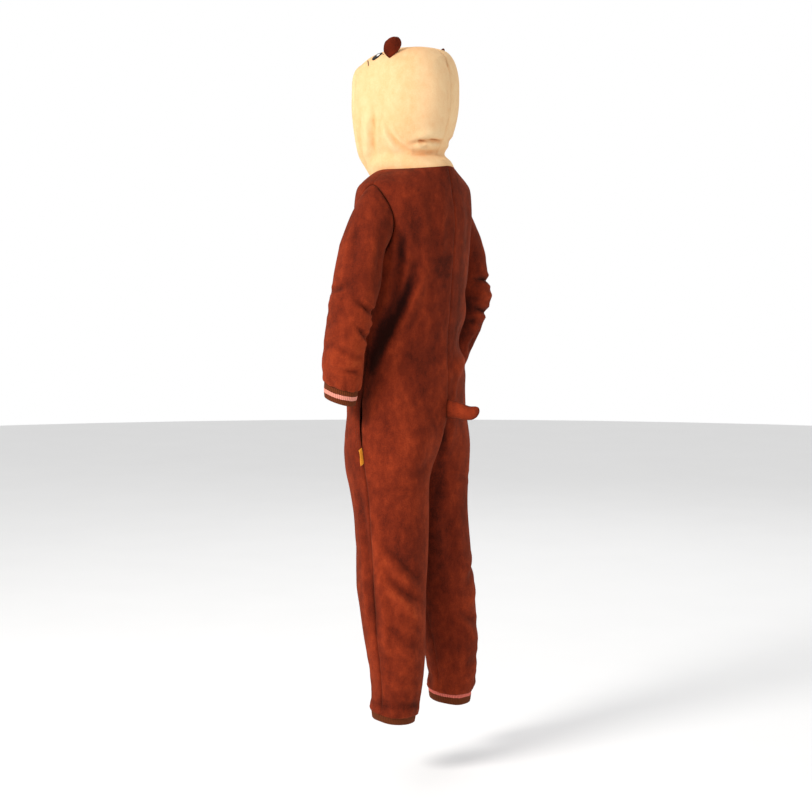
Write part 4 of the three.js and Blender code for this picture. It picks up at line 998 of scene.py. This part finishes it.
def noise(material, scale, detail, stretch=(1, 1, 1), roughness=0.55):
    """Noise over the object's own coordinates, from 0 to 1."""
    where = add_node(material, "ShaderNodeTexCoord")
    mapping = add_node(material, "ShaderNodeMapping", {"Vector": where.outputs["Object"], "Scale": stretch})
    inputs = {"Vector": mapping.outputs["Vector"], "Scale": scale, "Detail": detail, "Roughness": roughness}
    return add_node(material, "ShaderNodeTexNoise", inputs).outputs["Fac"]


def attribute(material, name):
    return add_node(material, "ShaderNodeAttribute", attribute_name=name).outputs["Fac"]


def ranged(material, value, low, high, to_low, to_high):
    inputs = {"Value": value, "From Min": low, "From Max": high, "To Min": to_low, "To Max": to_high}
    return add_node(material, "ShaderNodeMapRange", inputs).outputs["Result"]


def added(material, values):
    total = values[0]
    for value in values[1:]:
        total = add_node(material, "ShaderNodeMath", {0: total, 1: value}, operation="ADD").outputs[0]
    return total


def grey(material, value):
    inputs = {"Red": value, "Green": value, "Blue": value}
    return add_node(material, "ShaderNodeCombineColor", inputs).outputs["Color"]


def ramp(material, value, stops, interpolation="LINEAR"):
    node = add_node(material, "ShaderNodeValToRGB", {"Fac": value})
    colours = node.color_ramp
    colours.interpolation = interpolation
    while len(colours.elements) < len(stops):
        colours.elements.new(0.5)
    for element, (spot, colour) in zip(colours.elements, stops):
        element.position = spot
        element.color = (*colour, 1)
    return node.outputs["Color"]


def finish_material(material, colour, height=None, strength=0.5, distance=0.001):
    shader = material.node_tree.nodes["Principled BSDF"]
    material.node_tree.links.new(colour, shader.inputs["Base Color"])
    if height is not None:
        inputs = {"Height": height, "Strength": strength, "Distance": distance}
        bump = add_node(material, "ShaderNodeBump", inputs)
        material.node_tree.links.new(bump.outputs["Normal"], shader.inputs["Normal"])
    return material


def pile(name, stops, sheen, tint, painted_fold_shade, patches_share):
    """Short brushed pile: patches where it lies over, fibres, painted shade down in the folds and seams,
    painted light on the ridges, and painted light and shade by place.
    """
    material = blank_material(name, 0.95, sheen, tint, 0.06)
    folds = attribute(material, "relief_and_painted_shade")
    patches = noise(material, 17, 4, (1, 1, 0.5))
    brushed = noise(material, 62, 3, (1, 1, 0.7))
    tufts = noise(material, 420, 2)
    fibres = noise(material, 1700, 2)
    amount = added(material, [
        ranged(material, patches, 0.32, 0.68, -patches_share, patches_share),
        ranged(material, brushed, 0.3, 0.7, -0.1, 0.1),
        ranged(material, tufts, 0.3, 0.7, -0.09, 0.09),
        ranged(material, fibres, 0.3, 0.7, -0.08, 0.08),
        # Painted shade down in the folds and seams, painted light on the ridges, then painted light and shade
        # by place
        ranged(material, folds, -13, 0, -painted_fold_shade, 0),
        ranged(material, folds, 0, 6, 0, 0.4 * painted_fold_shade),
        attribute(material, "painted_light_and_shade"),
        0.5,
    ])
    height = added(material, [
        ranged(material, tufts, 0, 1, 0, 0.6),
        ranged(material, fibres, 0, 1, 0, 0.4),
    ])
    return finish_material(material, ramp(material, amount, stops), height, 0.65, 0.0016)


# From the darkest painted shade in the folds to the palest pile
FLEECE_STOPS = [
    (0.0, (0.022, 0.0045, 0.0032)),
    (0.25, (0.07, 0.0095, 0.0045)),
    (0.5, (0.155, 0.0185, 0.0065)),
    (0.75, (0.27, 0.034, 0.01)),
    (1.0, (0.42, 0.07, 0.02)),
]
# From the orange painted shade in the folds to the palest cream
HOOD_STOPS = [
    (0.0, (0.74, 0.26, 0.09)),
    (0.3, (0.82, 0.44, 0.2)),
    (0.55, (0.83, 0.53, 0.275)),
    (1.0, (0.9, 0.66, 0.37)),
]
BROWN_RIB = (0.15, 0.034, 0.01)
SLEEVE_PINK = (0.88, 0.33, 0.25)
LEG_PINK = (0.82, 0.19, 0.14)
FLEECE = pile("fleece_pile", FLEECE_STOPS, 0.08, (1.0, 0.4, 0.2), 0.42, 0.13)
HOOD_FLEECE = pile("hood_pile", HOOD_STOPS, 0.06, (1.0, 0.85, 0.6), 0.6, 0.05)


def rib_knit(name, stops):
    """Rib knit: stripes by how far down the cuff a place is, painted shade in the valleys between the ribs,
    with small loops.
    """
    material = blank_material(name, 0.9, 0.05, (1, 0.7, 0.6), 0.08)
    stripes = ramp(material, attribute(material, "band"), stops, "CONSTANT")
    loops = noise(material, 900, 2, (1, 1, 0.6))
    shade = added(material, [
        # Painted shade in the valleys between the ribs
        ranged(material, attribute(material, "rib"), 0, 1, 0.45, 1.0),
        ranged(material, loops, 0.3, 0.7, -0.12, 0.12),
    ])
    mix = add_node(material, "ShaderNodeMix", data_type="RGBA", blend_type="MULTIPLY")
    mix.inputs[0].default_value = 1
    links = material.node_tree.links
    links.new(stripes, mix.inputs[6])
    links.new(grey(material, shade), mix.inputs[7])
    return finish_material(material, mix.outputs[2], loops, 0.5, 0.0008)


SLEEVE_RIB = rib_knit("rib_sleeve", [(0.0, BROWN_RIB), (0.36, SLEEVE_PINK), (0.64, BROWN_RIB)])
LEG_RIB = rib_knit("rib_leg", [(0.0, LEG_PINK), (0.5, BROWN_RIB)])


def satin(name, dark, light, scale, roughness):
    """Close satin stitches, or a woven ribbon, as fine lines over the piece."""
    material = blank_material(name, roughness, 0.05, specular=0.12)
    where = add_node(material, "ShaderNodeTexCoord")
    inputs = {"Vector": where.outputs["Object"], "Scale": scale, "Distortion": 1.5, "Detail": 2}
    lines = add_node(material, "ShaderNodeTexWave", inputs, bands_direction="DIAGONAL").outputs["Fac"]
    uneven_light = ranged(material, noise(material, 300, 2), 0, 1, -0.2, 0.2)
    colour = ramp(material, added(material, [lines, uneven_light]), [(0.0, dark), (1.0, light)])
    return finish_material(material, colour, lines, 0.4, 0.0005)


BLACK = satin("black_satin", (0.004, 0.0035, 0.0035), (0.014, 0.012, 0.012), 260, 0.55)
WHITE = satin("white_thread", (0.55, 0.56, 0.58), (0.82, 0.82, 0.82), 260, 0.5)
RIBBON = satin("label_ribbon", (0.75, 0.24, 0.015), (0.98, 0.42, 0.04), 420, 0.6)
MARK = satin("mark_thread", (0.012, 0.008, 0.007), (0.04, 0.022, 0.018), 420, 0.6)
THREAD = satin("seam_thread", (0.06, 0.015, 0.007), (0.2, 0.05, 0.02), 500, 0.6)
HOOD_THREAD = satin("hood_thread", (0.7, 0.42, 0.2), (0.9, 0.66, 0.38), 500, 0.6)


def button_plastic():
    material = blank_material("button_plastic", 0.34)
    swirl = noise(material, 90, 5, (1, 1, 2.2), 0.7)
    colour = ramp(material, swirl, [
        (0.3, (0.03, 0.011, 0.006)),
        (0.5, (0.075, 0.028, 0.014)),
        (0.75, (0.16, 0.07, 0.035)),
    ])
    return finish_material(material, colour, noise(material, 1200, 2), 0.12, 0.0002)


BUTTON_PLASTIC = button_plastic()


def sheet(node):
    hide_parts(node)


def stuffed(obj, node):
    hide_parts(node)


STRAND_AROUND = 8


def strand(name, centres, ups, wide, high, material):
    """A strand that lies along a line on the cloth, flattened and rounded off at its ends."""
    ways = unit(np.gradient(centres, axis=0))
    sides = unit(np.cross(ways, ups))
    ends = np.sqrt(np.clip(1 - np.abs(np.linspace(-1, 1, len(centres))) ** 8, 0.03, 1))
    angle = circle(STRAND_AROUND)
    across = sides[:, None] * (wide / 2 * np.cos(angle))[:, None]
    up = ups[:, None] * (high / 2 * np.sin(angle))[:, None]
    return closed_form(name, centres[:, None] + (across + up) * ends[:, None, None], material)


# One stitch: its share of the length, its size there and how high it lies over the cloth
STITCH_RINGS = [(0.0, 0.3, -0.5), (0.12, 0.85, 0.05), (0.5, 1.0, 0.3), (0.88, 0.85, 0.05), (1.0, 0.3, -0.5)]
STITCH_AROUND = 6
STITCH = {"spacing": 3.8, "length": 2.6, "wide": 0.8}


def stitches(name, lines, material):
    """Rows of stitches as one piece. Each row is a line of points on the cloth and the normals there."""
    points, faces = [], []
    angle = circle(STITCH_AROUND)
    spacing, length, wide = STITCH["spacing"], STITCH["length"], STITCH["wide"]
    for line, ups in lines:
        lengths = np.concatenate([[0], np.cumsum(np.linalg.norm(np.diff(line, axis=0), axis=1))])
        for spot in np.arange(spacing / 2, lengths[-1] - spacing / 2, spacing):
            start, end, up = [
                np.array([np.interp(at, lengths, values[:, k]) for k in range(3)])
                for at, values in ((spot - length / 2, line), (spot + length / 2, line), (spot, ups))
            ]
            side = unit(np.cross(end - start, up))
            base = len(points)
            for share, size, lift in STITCH_RINGS:
                centre = start + (end - start) * share + up * lift
                for a in angle:
                    points.append(centre + (side * math.cos(a) + up * math.sin(a)) * wide / 2 * size)
            for i in range(len(STITCH_RINGS) - 1):
                for j in range(STITCH_AROUND):
                    a = base + i * STITCH_AROUND + j
                    b = base + i * STITCH_AROUND + (j + 1) % STITCH_AROUND
                    faces.append([b, a, a + STITCH_AROUND, b + STITCH_AROUND])
            last = base + (len(STITCH_RINGS) - 1) * STITCH_AROUND
            faces.append([base + j for j in range(STITCH_AROUND)])
            faces.append([last + j for j in range(STITCH_AROUND)][::-1])
    add_object(name, np.array(points), faces, material)


def line_at(outer, normals, distance, rows, mirror):
    """The line that runs this far from a grid's first column, and the normals there."""
    across = run(outer, 1)

    def read(grid):
        line = [[np.interp(distance, across[i], grid[i, :, k]) for k in range(3)] for i in rows]
        return mirrored(np.array(line), mirror)

    return read(outer), read(normals)


# The suit's panels: the flat size of what shows, in metres, and its area
PANELS = {
    "back": (lambda side: body_cloth(1, side), FLEECE, "fleece", (0.36, 1.31), 0.36),
    "front": (lambda side: body_cloth(-1, side), FLEECE, "fleece", (0.35, 1.28), 0.335),
    "sleeve": (sleeve_cloth, FLEECE, "fleece", (0.42, 0.44), 0.145),
    "hood": (hood_cloth, HOOD_FLEECE, "hood", (0.33, 0.36), 0.1),
}
CLOTHS = {}
for side, mirror in SIDES.items():
    for name, (cloth, material, slot, flat, area) in PANELS.items():
        node = f"{name}_{side}"
        outer, shade, normals = cloth(side)
        CLOTHS[node] = (outer, normals)
        flags = {"relief_and_painted_shade": shade}
        panel = shell(f"{node}_cloth", outer, CLOTH, material, name == "sleeve", flags, mirror, normals)
        sheet(node)


# Rib cuffs. The edge is given as how far in and how far down it turns.
RIB_WALL = 2.2
RIB_HIGH = 0.8
RIB_STEPS = 5
CUFF_STEPS = 22
CUFF_EDGE = [(0.25, 0.35), (0.8, 0.8), (1.5, 1.0)]
CUFF_PUFF = 1.2
CUFF_SAG = 1.2


def cuff(node, ring, material, spec, mirror):
    """A rib tube below a ring of cloth. ring(share, turn) gives its plain points and their way out."""
    ribs = spec["ribs"]
    count = ribs * RIB_STEPS
    shares = np.linspace(0, 1, CUFF_STEPS)
    rows = [(share, share, 0, 0) for share in shares] + [(1, 1, inward, below) for inward, below in CUFF_EDGE]
    turn = np.arange(count) / count
    outer, band, rib = [], [], []
    for share, colour, inward, below in rows:
        points, out = ring(share, turn)
        phase = ribs * turn + 0.25 * np.sin(2 * math.pi * (2 * turn + share))
        wave = (0.5 + 0.5 * np.cos(2 * math.pi * phase)) ** 0.7
        puff = CUFF_PUFF * math.sin(math.pi * share) + 0.7 * uneven(points, 21, 61)
        fuller = 0.75 + 0.25 * math.sin(math.pi * share)
        high = RIB_HIGH * wave * fuller + puff * smooth(share / 0.15) - inward
        p = points + out * high[:, None]
        p[:, 2] -= below + CUFF_SAG * uneven(points * (1, 1, 0), 26, 67) * share
        outer.append(p)
        band.append(np.full(count, colour) + 0.02 * uneven(points * (1, 1, 0), 9, 71))
        rib.append(wave)
    outer = np.array(outer)
    hint = np.array([ring(row[0], turn)[1] for row in rows])
    obj = shell(f"{node}_knit", outer, RIB_WALL, material, True, {"band": band, "rib": rib}, mirror, hint)
    sheet(node)


def sleeve_cuff_ring(side):
    """The function that gives a side's sleeve cuff its rings."""
    last = len(SLEEVE["x"]) - 1
    shift = sleeve_shift(side, np.array(float(last)))
    top = {name: SLEEVE[name][last] for name in SLEEVE}

    def ring(share, turn):
        angle = 2 * math.pi * turn
        wide, deep = (top[name] + (SLEEVE_CUFF[name] - top[name]) * share for name in ("across", "depth"))
        y = deep * np.sin(angle)
        x = top["x"] + SLEEVE_CUFF["x"] * share + wide * np.cos(angle)
        z = top["height"] - SEAM_GAP - SLEEVE_CUFF["length"] * share - top["tilt"] * y
        points = stack(x, top["y"] + SLEEVE_CUFF["y"] * share + y, z) + shift
        return points, stack(np.cos(angle), np.sin(angle), 0 * angle)

    return ring


def leg_cuff_ring(share, turn):
    hem = float(len(BODY["height"]) - 1)
    along = np.where(turn <= 0.5, 2 * turn, 2 * turn - 2)
    points = body_point(hem, along)
    out = unit((points - leg_middle(hem)) * (1, 1, 0))
    points = points - out * LEG_CUFF["taper"] * share
    points[:, 2] -= SEAM_GAP + LEG_CUFF["length"] * share
    return points, out


for side, mirror in SIDES.items():
    cuff(f"sleeve_cuff_{side}", sleeve_cuff_ring(side), SLEEVE_RIB, SLEEVE_CUFF, mirror)
    cuff(f"leg_cuff_{side}", leg_cuff_ring, LEG_RIB, LEG_CUFF, mirror)


# Ears, tail and nose, stuffed
ROUND_STEPS = 48
EAR_TIPS = [(0.8, 0.86), (1.5, 0.62), (1.9, 0.3)]
TAIL_TIPS = [(0.7, 0.84), (1.4, 0.55), (1.8, 0.25)]


def through(last, count, tips):
    """Places down a table, then the rounded tip: how far past the last row, and the size there."""
    down = [(place, 0, 1) for place in np.linspace(0, last, count)]
    return down + [(last, past, size) for past, size in tips]


def ear(side, mirror):
    spec = EARS[side]
    foot = over_crown([spec["x"]], [spec["y"]], [SEAT])[0][0]
    way = unit(np.array(spec["way"], float))
    across = unit(np.array(EAR_WIDTH, float))
    tall = EAR_OUTLINE["up"][-1]
    angle = circle(ROUND_STEPS)
    rings, flags = [], []
    places = through(len(EAR_OUTLINE["up"]) - 1, 40, EAR_TIPS)

    def flat(place, size):
        wide = column(EAR_OUTLINE, "wide", place) * size
        thick = column(EAR_OUTLINE, "thick", place) * size
        # The two faces meet in a seam that runs round the rim
        rim = np.abs(np.cos(angle)) ** 14
        deep = thick / 2 * np.sign(np.sin(angle)) * np.abs(np.sin(angle)) ** 1.2
        width = wide / 2 * np.cos(angle) * (1 - 0.012 * rim)
        return across * width[:, None] + stack(0 * deep, deep, 0 * deep)

    # The foot follows the crown under it
    base = flat(0, 1)
    seat = over_crown(foot[0] + base[:, 0], foot[1] + base[:, 1], np.full(ROUND_STEPS, SEAT))[0] - foot - base
    for place, extra, size in places:
        up = column(EAR_OUTLINE, "up", place)
        ring = foot + flat(place, size) + way * (up + extra) + seat * (1 - up / tall) ** 3
        puff = 0.9 * uneven(mirrored(ring, mirror), 15, 81) * smooth(up / 8)
        ring = ring + unit(ring - ring.mean(0)) * puff[:, None]
        rings.append(ring)
        # Painted shade along the rim seam and at the foot, painted light on the flat faces
        painted_rim_and_foot_shade = -7 * np.abs(np.cos(angle)) ** 10 - 3 * (1 - smooth(up / 6))
        flags.append(painted_rim_and_foot_shade + 2.5 * np.abs(np.sin(angle)))
    obj = closed_form(f"ear_{side}_plush", mirrored(np.array(rings), mirror), FLEECE, {"relief_and_painted_shade": flags})
    stuffed(obj, f"ear_{side}")


TAIL_COLUMNS = 18


def cloth_behind(x, z):
    """How far back the cloth of the back reaches at sideways places x and heights z."""
    found = []
    for one_x, one_z in zip(x, z):
        grid = CLOTHS["back_left" if one_x >= 0 else "back_right"][0][:, -TAIL_COLUMNS:]
        near = np.argmin((grid[..., 0] - abs(one_x)) ** 2 + (grid[..., 2] - one_z) ** 2)
        found.append(grid[..., 1].flat[near])
    return np.array(found)


def tail():
    angle = circle(ROUND_STEPS)
    rings, flags = [], []
    for place, extra, size in through(len(TAIL["out"]) - 1, 44, TAIL_TIPS):
        out = column(TAIL, "out", place)
        x = column(TAIL, "wide", place) * size / 2 * np.sign(np.cos(angle)) * np.abs(np.cos(angle)) ** 1.15
        z = TAIL_HEIGHT + column(TAIL, "up", place) + column(TAIL, "tall", place) * size / 2 * np.sin(angle)
        root = cloth_behind(x, z) + SEAT
        share = np.clip(out / 24, 0, 1)
        y = root + (TAIL_ROOT + out + extra - root) * share
        ring = stack(x, y, z)
        puff = 1.1 * uneven(ring, 17, 83) * smooth(out / 10) * size
        ring = ring + unit((ring - ring.mean(0)) * (1, 0, 1)) * puff[:, None]
        rings.append(ring)
        # Painted shade along the top and bottom seams and at the root, painted light on the sides
        flags.append(-6 * np.abs(np.sin(angle)) ** 10 + 2 * np.abs(np.cos(angle)) - 4 * (1 - smooth(out / 8)))
    stuffed(closed_form("tail_plush", np.array(rings), FLEECE, {"relief_and_painted_shade": flags}), "tail")


def dome_grid(count):
    """A square grid drawn out to a disc, and how far inside the rim each place is."""
    u, v = np.meshgrid(np.linspace(-1, 1, count), np.linspace(-1, 1, count), indexing="ij")
    return u * np.sqrt(1 - v * v / 2), v * np.sqrt(1 - u * u / 2), 1 - (u * u + v * v - u * u * v * v)


def nose():
    u, v, inside = dome_grid(25)
    x, y = NOSE["half_x"] * u, NOSE["y"] + NOSE["half_y"] * v
    dome = NOSE["thick"] * np.sqrt(np.clip(inside, 0.02, 1))

    def at(out):
        points = over_crown(np.maximum(np.abs(x), 0.4), y, out)[0]
        points[..., 0] = x
        return points

    obj = shell_between("nose_plush", at(SEAT + dome), at(np.full(x.shape, SEAT)), BLACK)
    stuffed(obj, "nose")


def patch(node, oval, material, mirror):
    u, v, inside = dome_grid(23)
    x = oval["x"] + u * oval["half_x"]
    y = oval["y"] + v * oval["half_y"] + u * oval["slant"]
    high = oval["thick"] * (0.55 + 0.45 * np.sqrt(np.clip(inside, 0, 1)))
    outer = over_crown(x, y, oval["lift"] + high)[0]
    inner = over_crown(x, y, np.full(x.shape, oval["lift"] - 0.2))[0]
    obj = shell_between(f"{node}_satin", outer, inner, material, mirror)
    sheet(node)


MARK_LIFT = 0.55
MARK_HIGH = 1.2


def stitched_mark(name, path, wide, mirror):
    path = np.array(path, float)
    spots = np.linspace(0, len(path) - 1, 26)
    x, y = (column({"at": part}, "at", spots) for part in path.T)
    points, normals = over_crown(x, y, np.full(x.shape, MARK_LIFT))
    strand(name, mirrored(points, mirror), mirrored(normals, mirror), wide, MARK_HIGH, MARK)


for side, mirror in SIDES.items():
    ear(side, mirror)
    patch(f"eye_{side}", EYE, BLACK, mirror)
    patch(f"eye_light_{side}", EYE_LIGHT, WHITE, mirror)
    for mark, (path, wide) in STITCHED_MARKS.items():
        stitched_mark(f"mark_{mark}_{side}", path, wide, mirror)
tail()
nose()


# Placket, buttons and label
HEM_STITCH = 4


def front_point(row, x, out):
    """A place this far out from the front, at a sideways place x near the middle."""
    row, x = np.broadcast_arrays(np.asarray(row, float), np.asarray(x, float))
    points = body_point(row, -1 + np.abs(x) / column(BODY, "side", row) * FRONT_SPREAD)
    return stack(x, points[..., 1] - out, points[..., 2])


def placket():
    rows = np.linspace(PLACKET["top"], PLACKET["bottom"], 190)
    shares = pitch([0, 0.012, 0.03, 0.06], 13)
    row, share = np.meshgrid(rows, shares, indexing="ij")
    x = PLACKET["half"] * (2 * share - 1)
    edge = np.minimum(share, 1 - share) * 2 * PLACKET["half"]
    plain = front_point(row, x, SEAT)
    puff = 0.5 * uneven(plain, 24, 91) * smooth(edge / 6)
    high = PLACKET["thick"] * np.sqrt(np.clip(edge / 1.6, 0.3, 1)) + puff
    high = high - 0.7 * np.exp(-((edge - HEM_STITCH) / 0.9) ** 2)
    outer = plain - stack(0 * high, high, 0 * high)
    # Painted light and shade that follow the puffs, and painted shade along the edges
    flags = {"relief_and_painted_shade": puff * 3 - 2 * np.exp(-edge / 1.5)}
    obj = shell_between("placket_cloth", outer, plain, FLEECE, 1, flags)
    sheet("placket")
    ups = np.tile([0.0, -1.0, 0.0], (len(rows), 1))
    inset = PLACKET["half"] - HEM_STITCH
    lines = [(front_point(rows, x, SEAT + PLACKET["thick"] - 0.3), ups) for x in (-inset, inset)]
    stitches("placket_stitching", lines, THREAD)


# The button's section, as shares of its radius and thickness
BUTTON_PROFILE = [
    (0.9, 0.02), (1.0, 0.0), (1.0, 0.35), (0.985, 0.62), (0.95, 0.85), (0.9, 0.97), (0.84, 1.0), (0.78, 0.97),
    (0.72, 0.82), (0.66, 0.66), (0.58, 0.58), (0.4, 0.55), (0.2, 0.54),
]
BUTTON_AROUND = 64
BUTTON_FACE = 0.54
BUTTON_ROWS = np.linspace(0, 16, 3200)
HOLE_OUT = 2.6
HOLE_RADIUS = 1.1
HOLE_DEPTH = 1.2
HOLE_TURNS = [math.pi / 4, 3 * math.pi / 4, 5 * math.pi / 4, 7 * math.pi / 4]
HOLES_WITHIN = 0.7
THREAD_STEPS = 14


def placket_face(row):
    return front_point(row, 0, SEAT + PLACKET["thick"])


def button(number):
    """A round four-hole button on the placket, sewn on with two crossed threads."""
    share = number / (BUTTON["count"] - 1)
    height = BUTTON["top"] + (BUTTON["bottom"] - BUTTON["top"]) * share
    row = float(np.interp(-height, -front_point(BUTTON_ROWS, 0, 0)[:, 2], BUTTON_ROWS))
    slope = unit(placket_face(row - 0.2) - placket_face(row + 0.2))
    outward = np.array([0, -slope[2], slope[1]])
    right = np.array([1.0, 0, 0])
    up = np.cross(outward, right)
    centre = placket_face(row) + outward * BUTTON["seat"]
    angle = circle(BUTTON_AROUND)
    holes = [right * HOLE_OUT * math.cos(turn) + up * HOLE_OUT * math.sin(turn) for turn in HOLE_TURNS]
    rings = []
    for out, high in BUTTON_PROFILE:
        radius = out * BUTTON["radius"]
        spot = right * (radius * np.cos(angle))[:, None] + up * (radius * np.sin(angle))[:, None]
        gaps = [np.linalg.norm(spot - hole, axis=1) for hole in holes]
        dip = HOLE_DEPTH * sum(smooth(1.25 - gap / HOLE_RADIUS) for gap in gaps)
        inside = high < HOLES_WITHIN and out < HOLES_WITHIN
        level = high * BUTTON["thick"] - (dip if inside else 0 * dip)
        rings.append(centre + spot + outward * level[:, None])
    node = f"button_{number + 1}"
    obj = closed_form(f"{node}_plastic", np.array(rings), BUTTON_PLASTIC)
    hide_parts(node)
    level = centre + outward * (BUTTON_FACE * BUTTON["thick"] + 0.5)
    spots = np.linspace(-1, 1, THREAD_STEPS)
    ups = np.tile(outward, (THREAD_STEPS, 1))
    for k, turn in enumerate((math.pi / 4, -math.pi / 4)):
        reach = (right * math.cos(turn) + up * math.sin(turn)) * HOLE_OUT
        bow = outward * (0.5 * (1 - spots ** 2) + 0.55 * k)[:, None]
        line = level + reach * spots[:, None] + bow
        strand(f"{node}_thread_{k + 1}", line, ups, 1.0, 0.8, THREAD)


def label():
    """A blank ribbon tab, folded into the side seam below the left pocket."""
    side_edge = CLOTHS["front_left"][0][:, 0]
    shares = np.linspace(0, 1, 21)
    rows = LABEL["top"] + (LABEL["bottom"] - LABEL["top"]) * shares
    seat = np.stack([np.interp(rows, BODY_GRID_ROWS, side_edge[:, k]) for k in range(3)], -1)
    t = np.linspace(0, 1, 17)
    curl = 0.8 * np.sin(2 * math.pi * shares)[:, None] * t * t
    x = seat[:, 0][:, None] + SEAT + LABEL["out"] * t
    y = seat[:, 1][:, None] + LABEL["sway"] * t * t + curl
    z = seat[:, 2][:, None] - LABEL["droop"] * t
    half = stack(0 * x, LABEL["thick"] / 2 + 0 * x, 0 * x)
    middle = stack(x, y, z)
    obj = shell_between("label_ribbon_piece", middle + half, middle - half, RIBBON)
    sheet("label")


placket()
for number in range(BUTTON["count"]):
    button(number)
label()


# Top-stitching beside the pockets and round the face opening
POCKET_STITCH = (6, 12)
for side, mirror in SIDES.items():
    outer, normals = CLOTHS[f"front_{side}"]
    rows = np.nonzero((BODY_GRID_ROWS > POCKET["top"] - 0.05) & (BODY_GRID_ROWS < POCKET["bottom"] + 0.05))[0]
    lines = [line_at(outer, normals, distance, rows, mirror) for distance in POCKET_STITCH]
    stitches(f"pocket_{side}_stitching", lines, THREAD)
    outer, normals = CLOTHS[f"hood_{side}"]
    line = line_at(outer, normals, FACE_HEM, range(4, len(outer) - 2), mirror)
    stitches(f"hood_{side}_stitching", [line], HOOD_THREAD)


# Floor, light and camera, in metres in the row frame
FLOOR = -CARRIED_AT / METRE
FLOOR_AROUND = 96
FLOOR_RADII = (9.0, 8.0)
BRIGHT_SIDE = (-0.82, -0.57, 0)
WORLD_LOW = 0.55
WORLD_HIGH = 1.0
SUIT_MIDDLE = (0, 0, -0.5)
CAMERA_AT = (3.768, 2.638, -0.12)
CAMERA_AIM = (0.0, 0.0, -0.52)
SENSOR_MM = 36
LENS_MM = 84.0


def floor():
    n = FLOOR_AROUND
    points = [(r * math.cos(a), r * math.sin(a), FLOOR) for r in FLOOR_RADII for a in circle(n)]
    faces = [[k, (k + 1) % n, n + (k + 1) % n, n + k] for k in range(n)]
    faces.append([n + k for k in range(n)])
    mesh = bpy.data.meshes.new("floor")
    mesh.from_pydata(points, [], faces)
    mesh.update()
    material = blank_material("floor_plain", 0.9)
    grain = ranged(material, noise(material, 3, 3), 0, 1, 0.9, 0.93)
    finish_material(material, grey(material, grain))
    mesh.materials.append(material)
    new_object("floor", mesh)


def aimed(name, data, at, aim):
    obj = new_object(name, data)
    obj.location = at
    obj.rotation_euler = (Vector(aim) - Vector(at)).to_track_quat("-Z", "Y").to_euler()
    return obj


def lamp(name, at, aim, size, watts, colour):
    data = bpy.data.lights.new(name, "AREA")
    data.shape = "DISK"
    data.size = size
    data.energy = watts
    data.color = colour
    aimed(name, data, at, aim)


def world():
    """A pale studio, brightest behind the front of the suit and softer behind its back."""
    scene = bpy.context.scene
    studio = bpy.data.worlds.new("studio")
    scene.world = studio
    studio.use_nodes = True
    background = studio.node_tree.nodes["Background"]
    background.inputs["Color"].default_value = (1.0, 1.0, 1.0, 1)
    where = add_node(studio, "ShaderNodeTexCoord")
    inputs = {0: where.outputs["Generated"], 1: BRIGHT_SIDE}
    facing = add_node(studio, "ShaderNodeVectorMath", inputs, operation="DOT_PRODUCT")
    strength = ranged(studio, facing.outputs["Value"], -0.4, 0.75, WORLD_LOW, WORLD_HIGH)
    studio.node_tree.links.new(strength, background.inputs["Strength"])
    scene.view_settings.view_transform = "Standard"


def camera():
    data = bpy.data.cameras.new("camera")
    data.sensor_width = SENSOR_MM
    data.lens = LENS_MM
    bpy.context.scene.camera = aimed("camera", data, CAMERA_AT, CAMERA_AIM)


floor()
world()
lamp("key", (3.6, -0.8, 1.4), SUIT_MIDDLE, 1.4, 150, (1.0, 0.98, 0.95))
lamp("fill", (0.8, 4.2, 1.2), SUIT_MIDDLE, 2.4, 20, (0.96, 0.98, 1.0))
lamp("back", (-3.4, -1.2, 2.0), (0, 0, -0.3), 1.8, 25, (1.0, 1.0, 1.0))
camera()
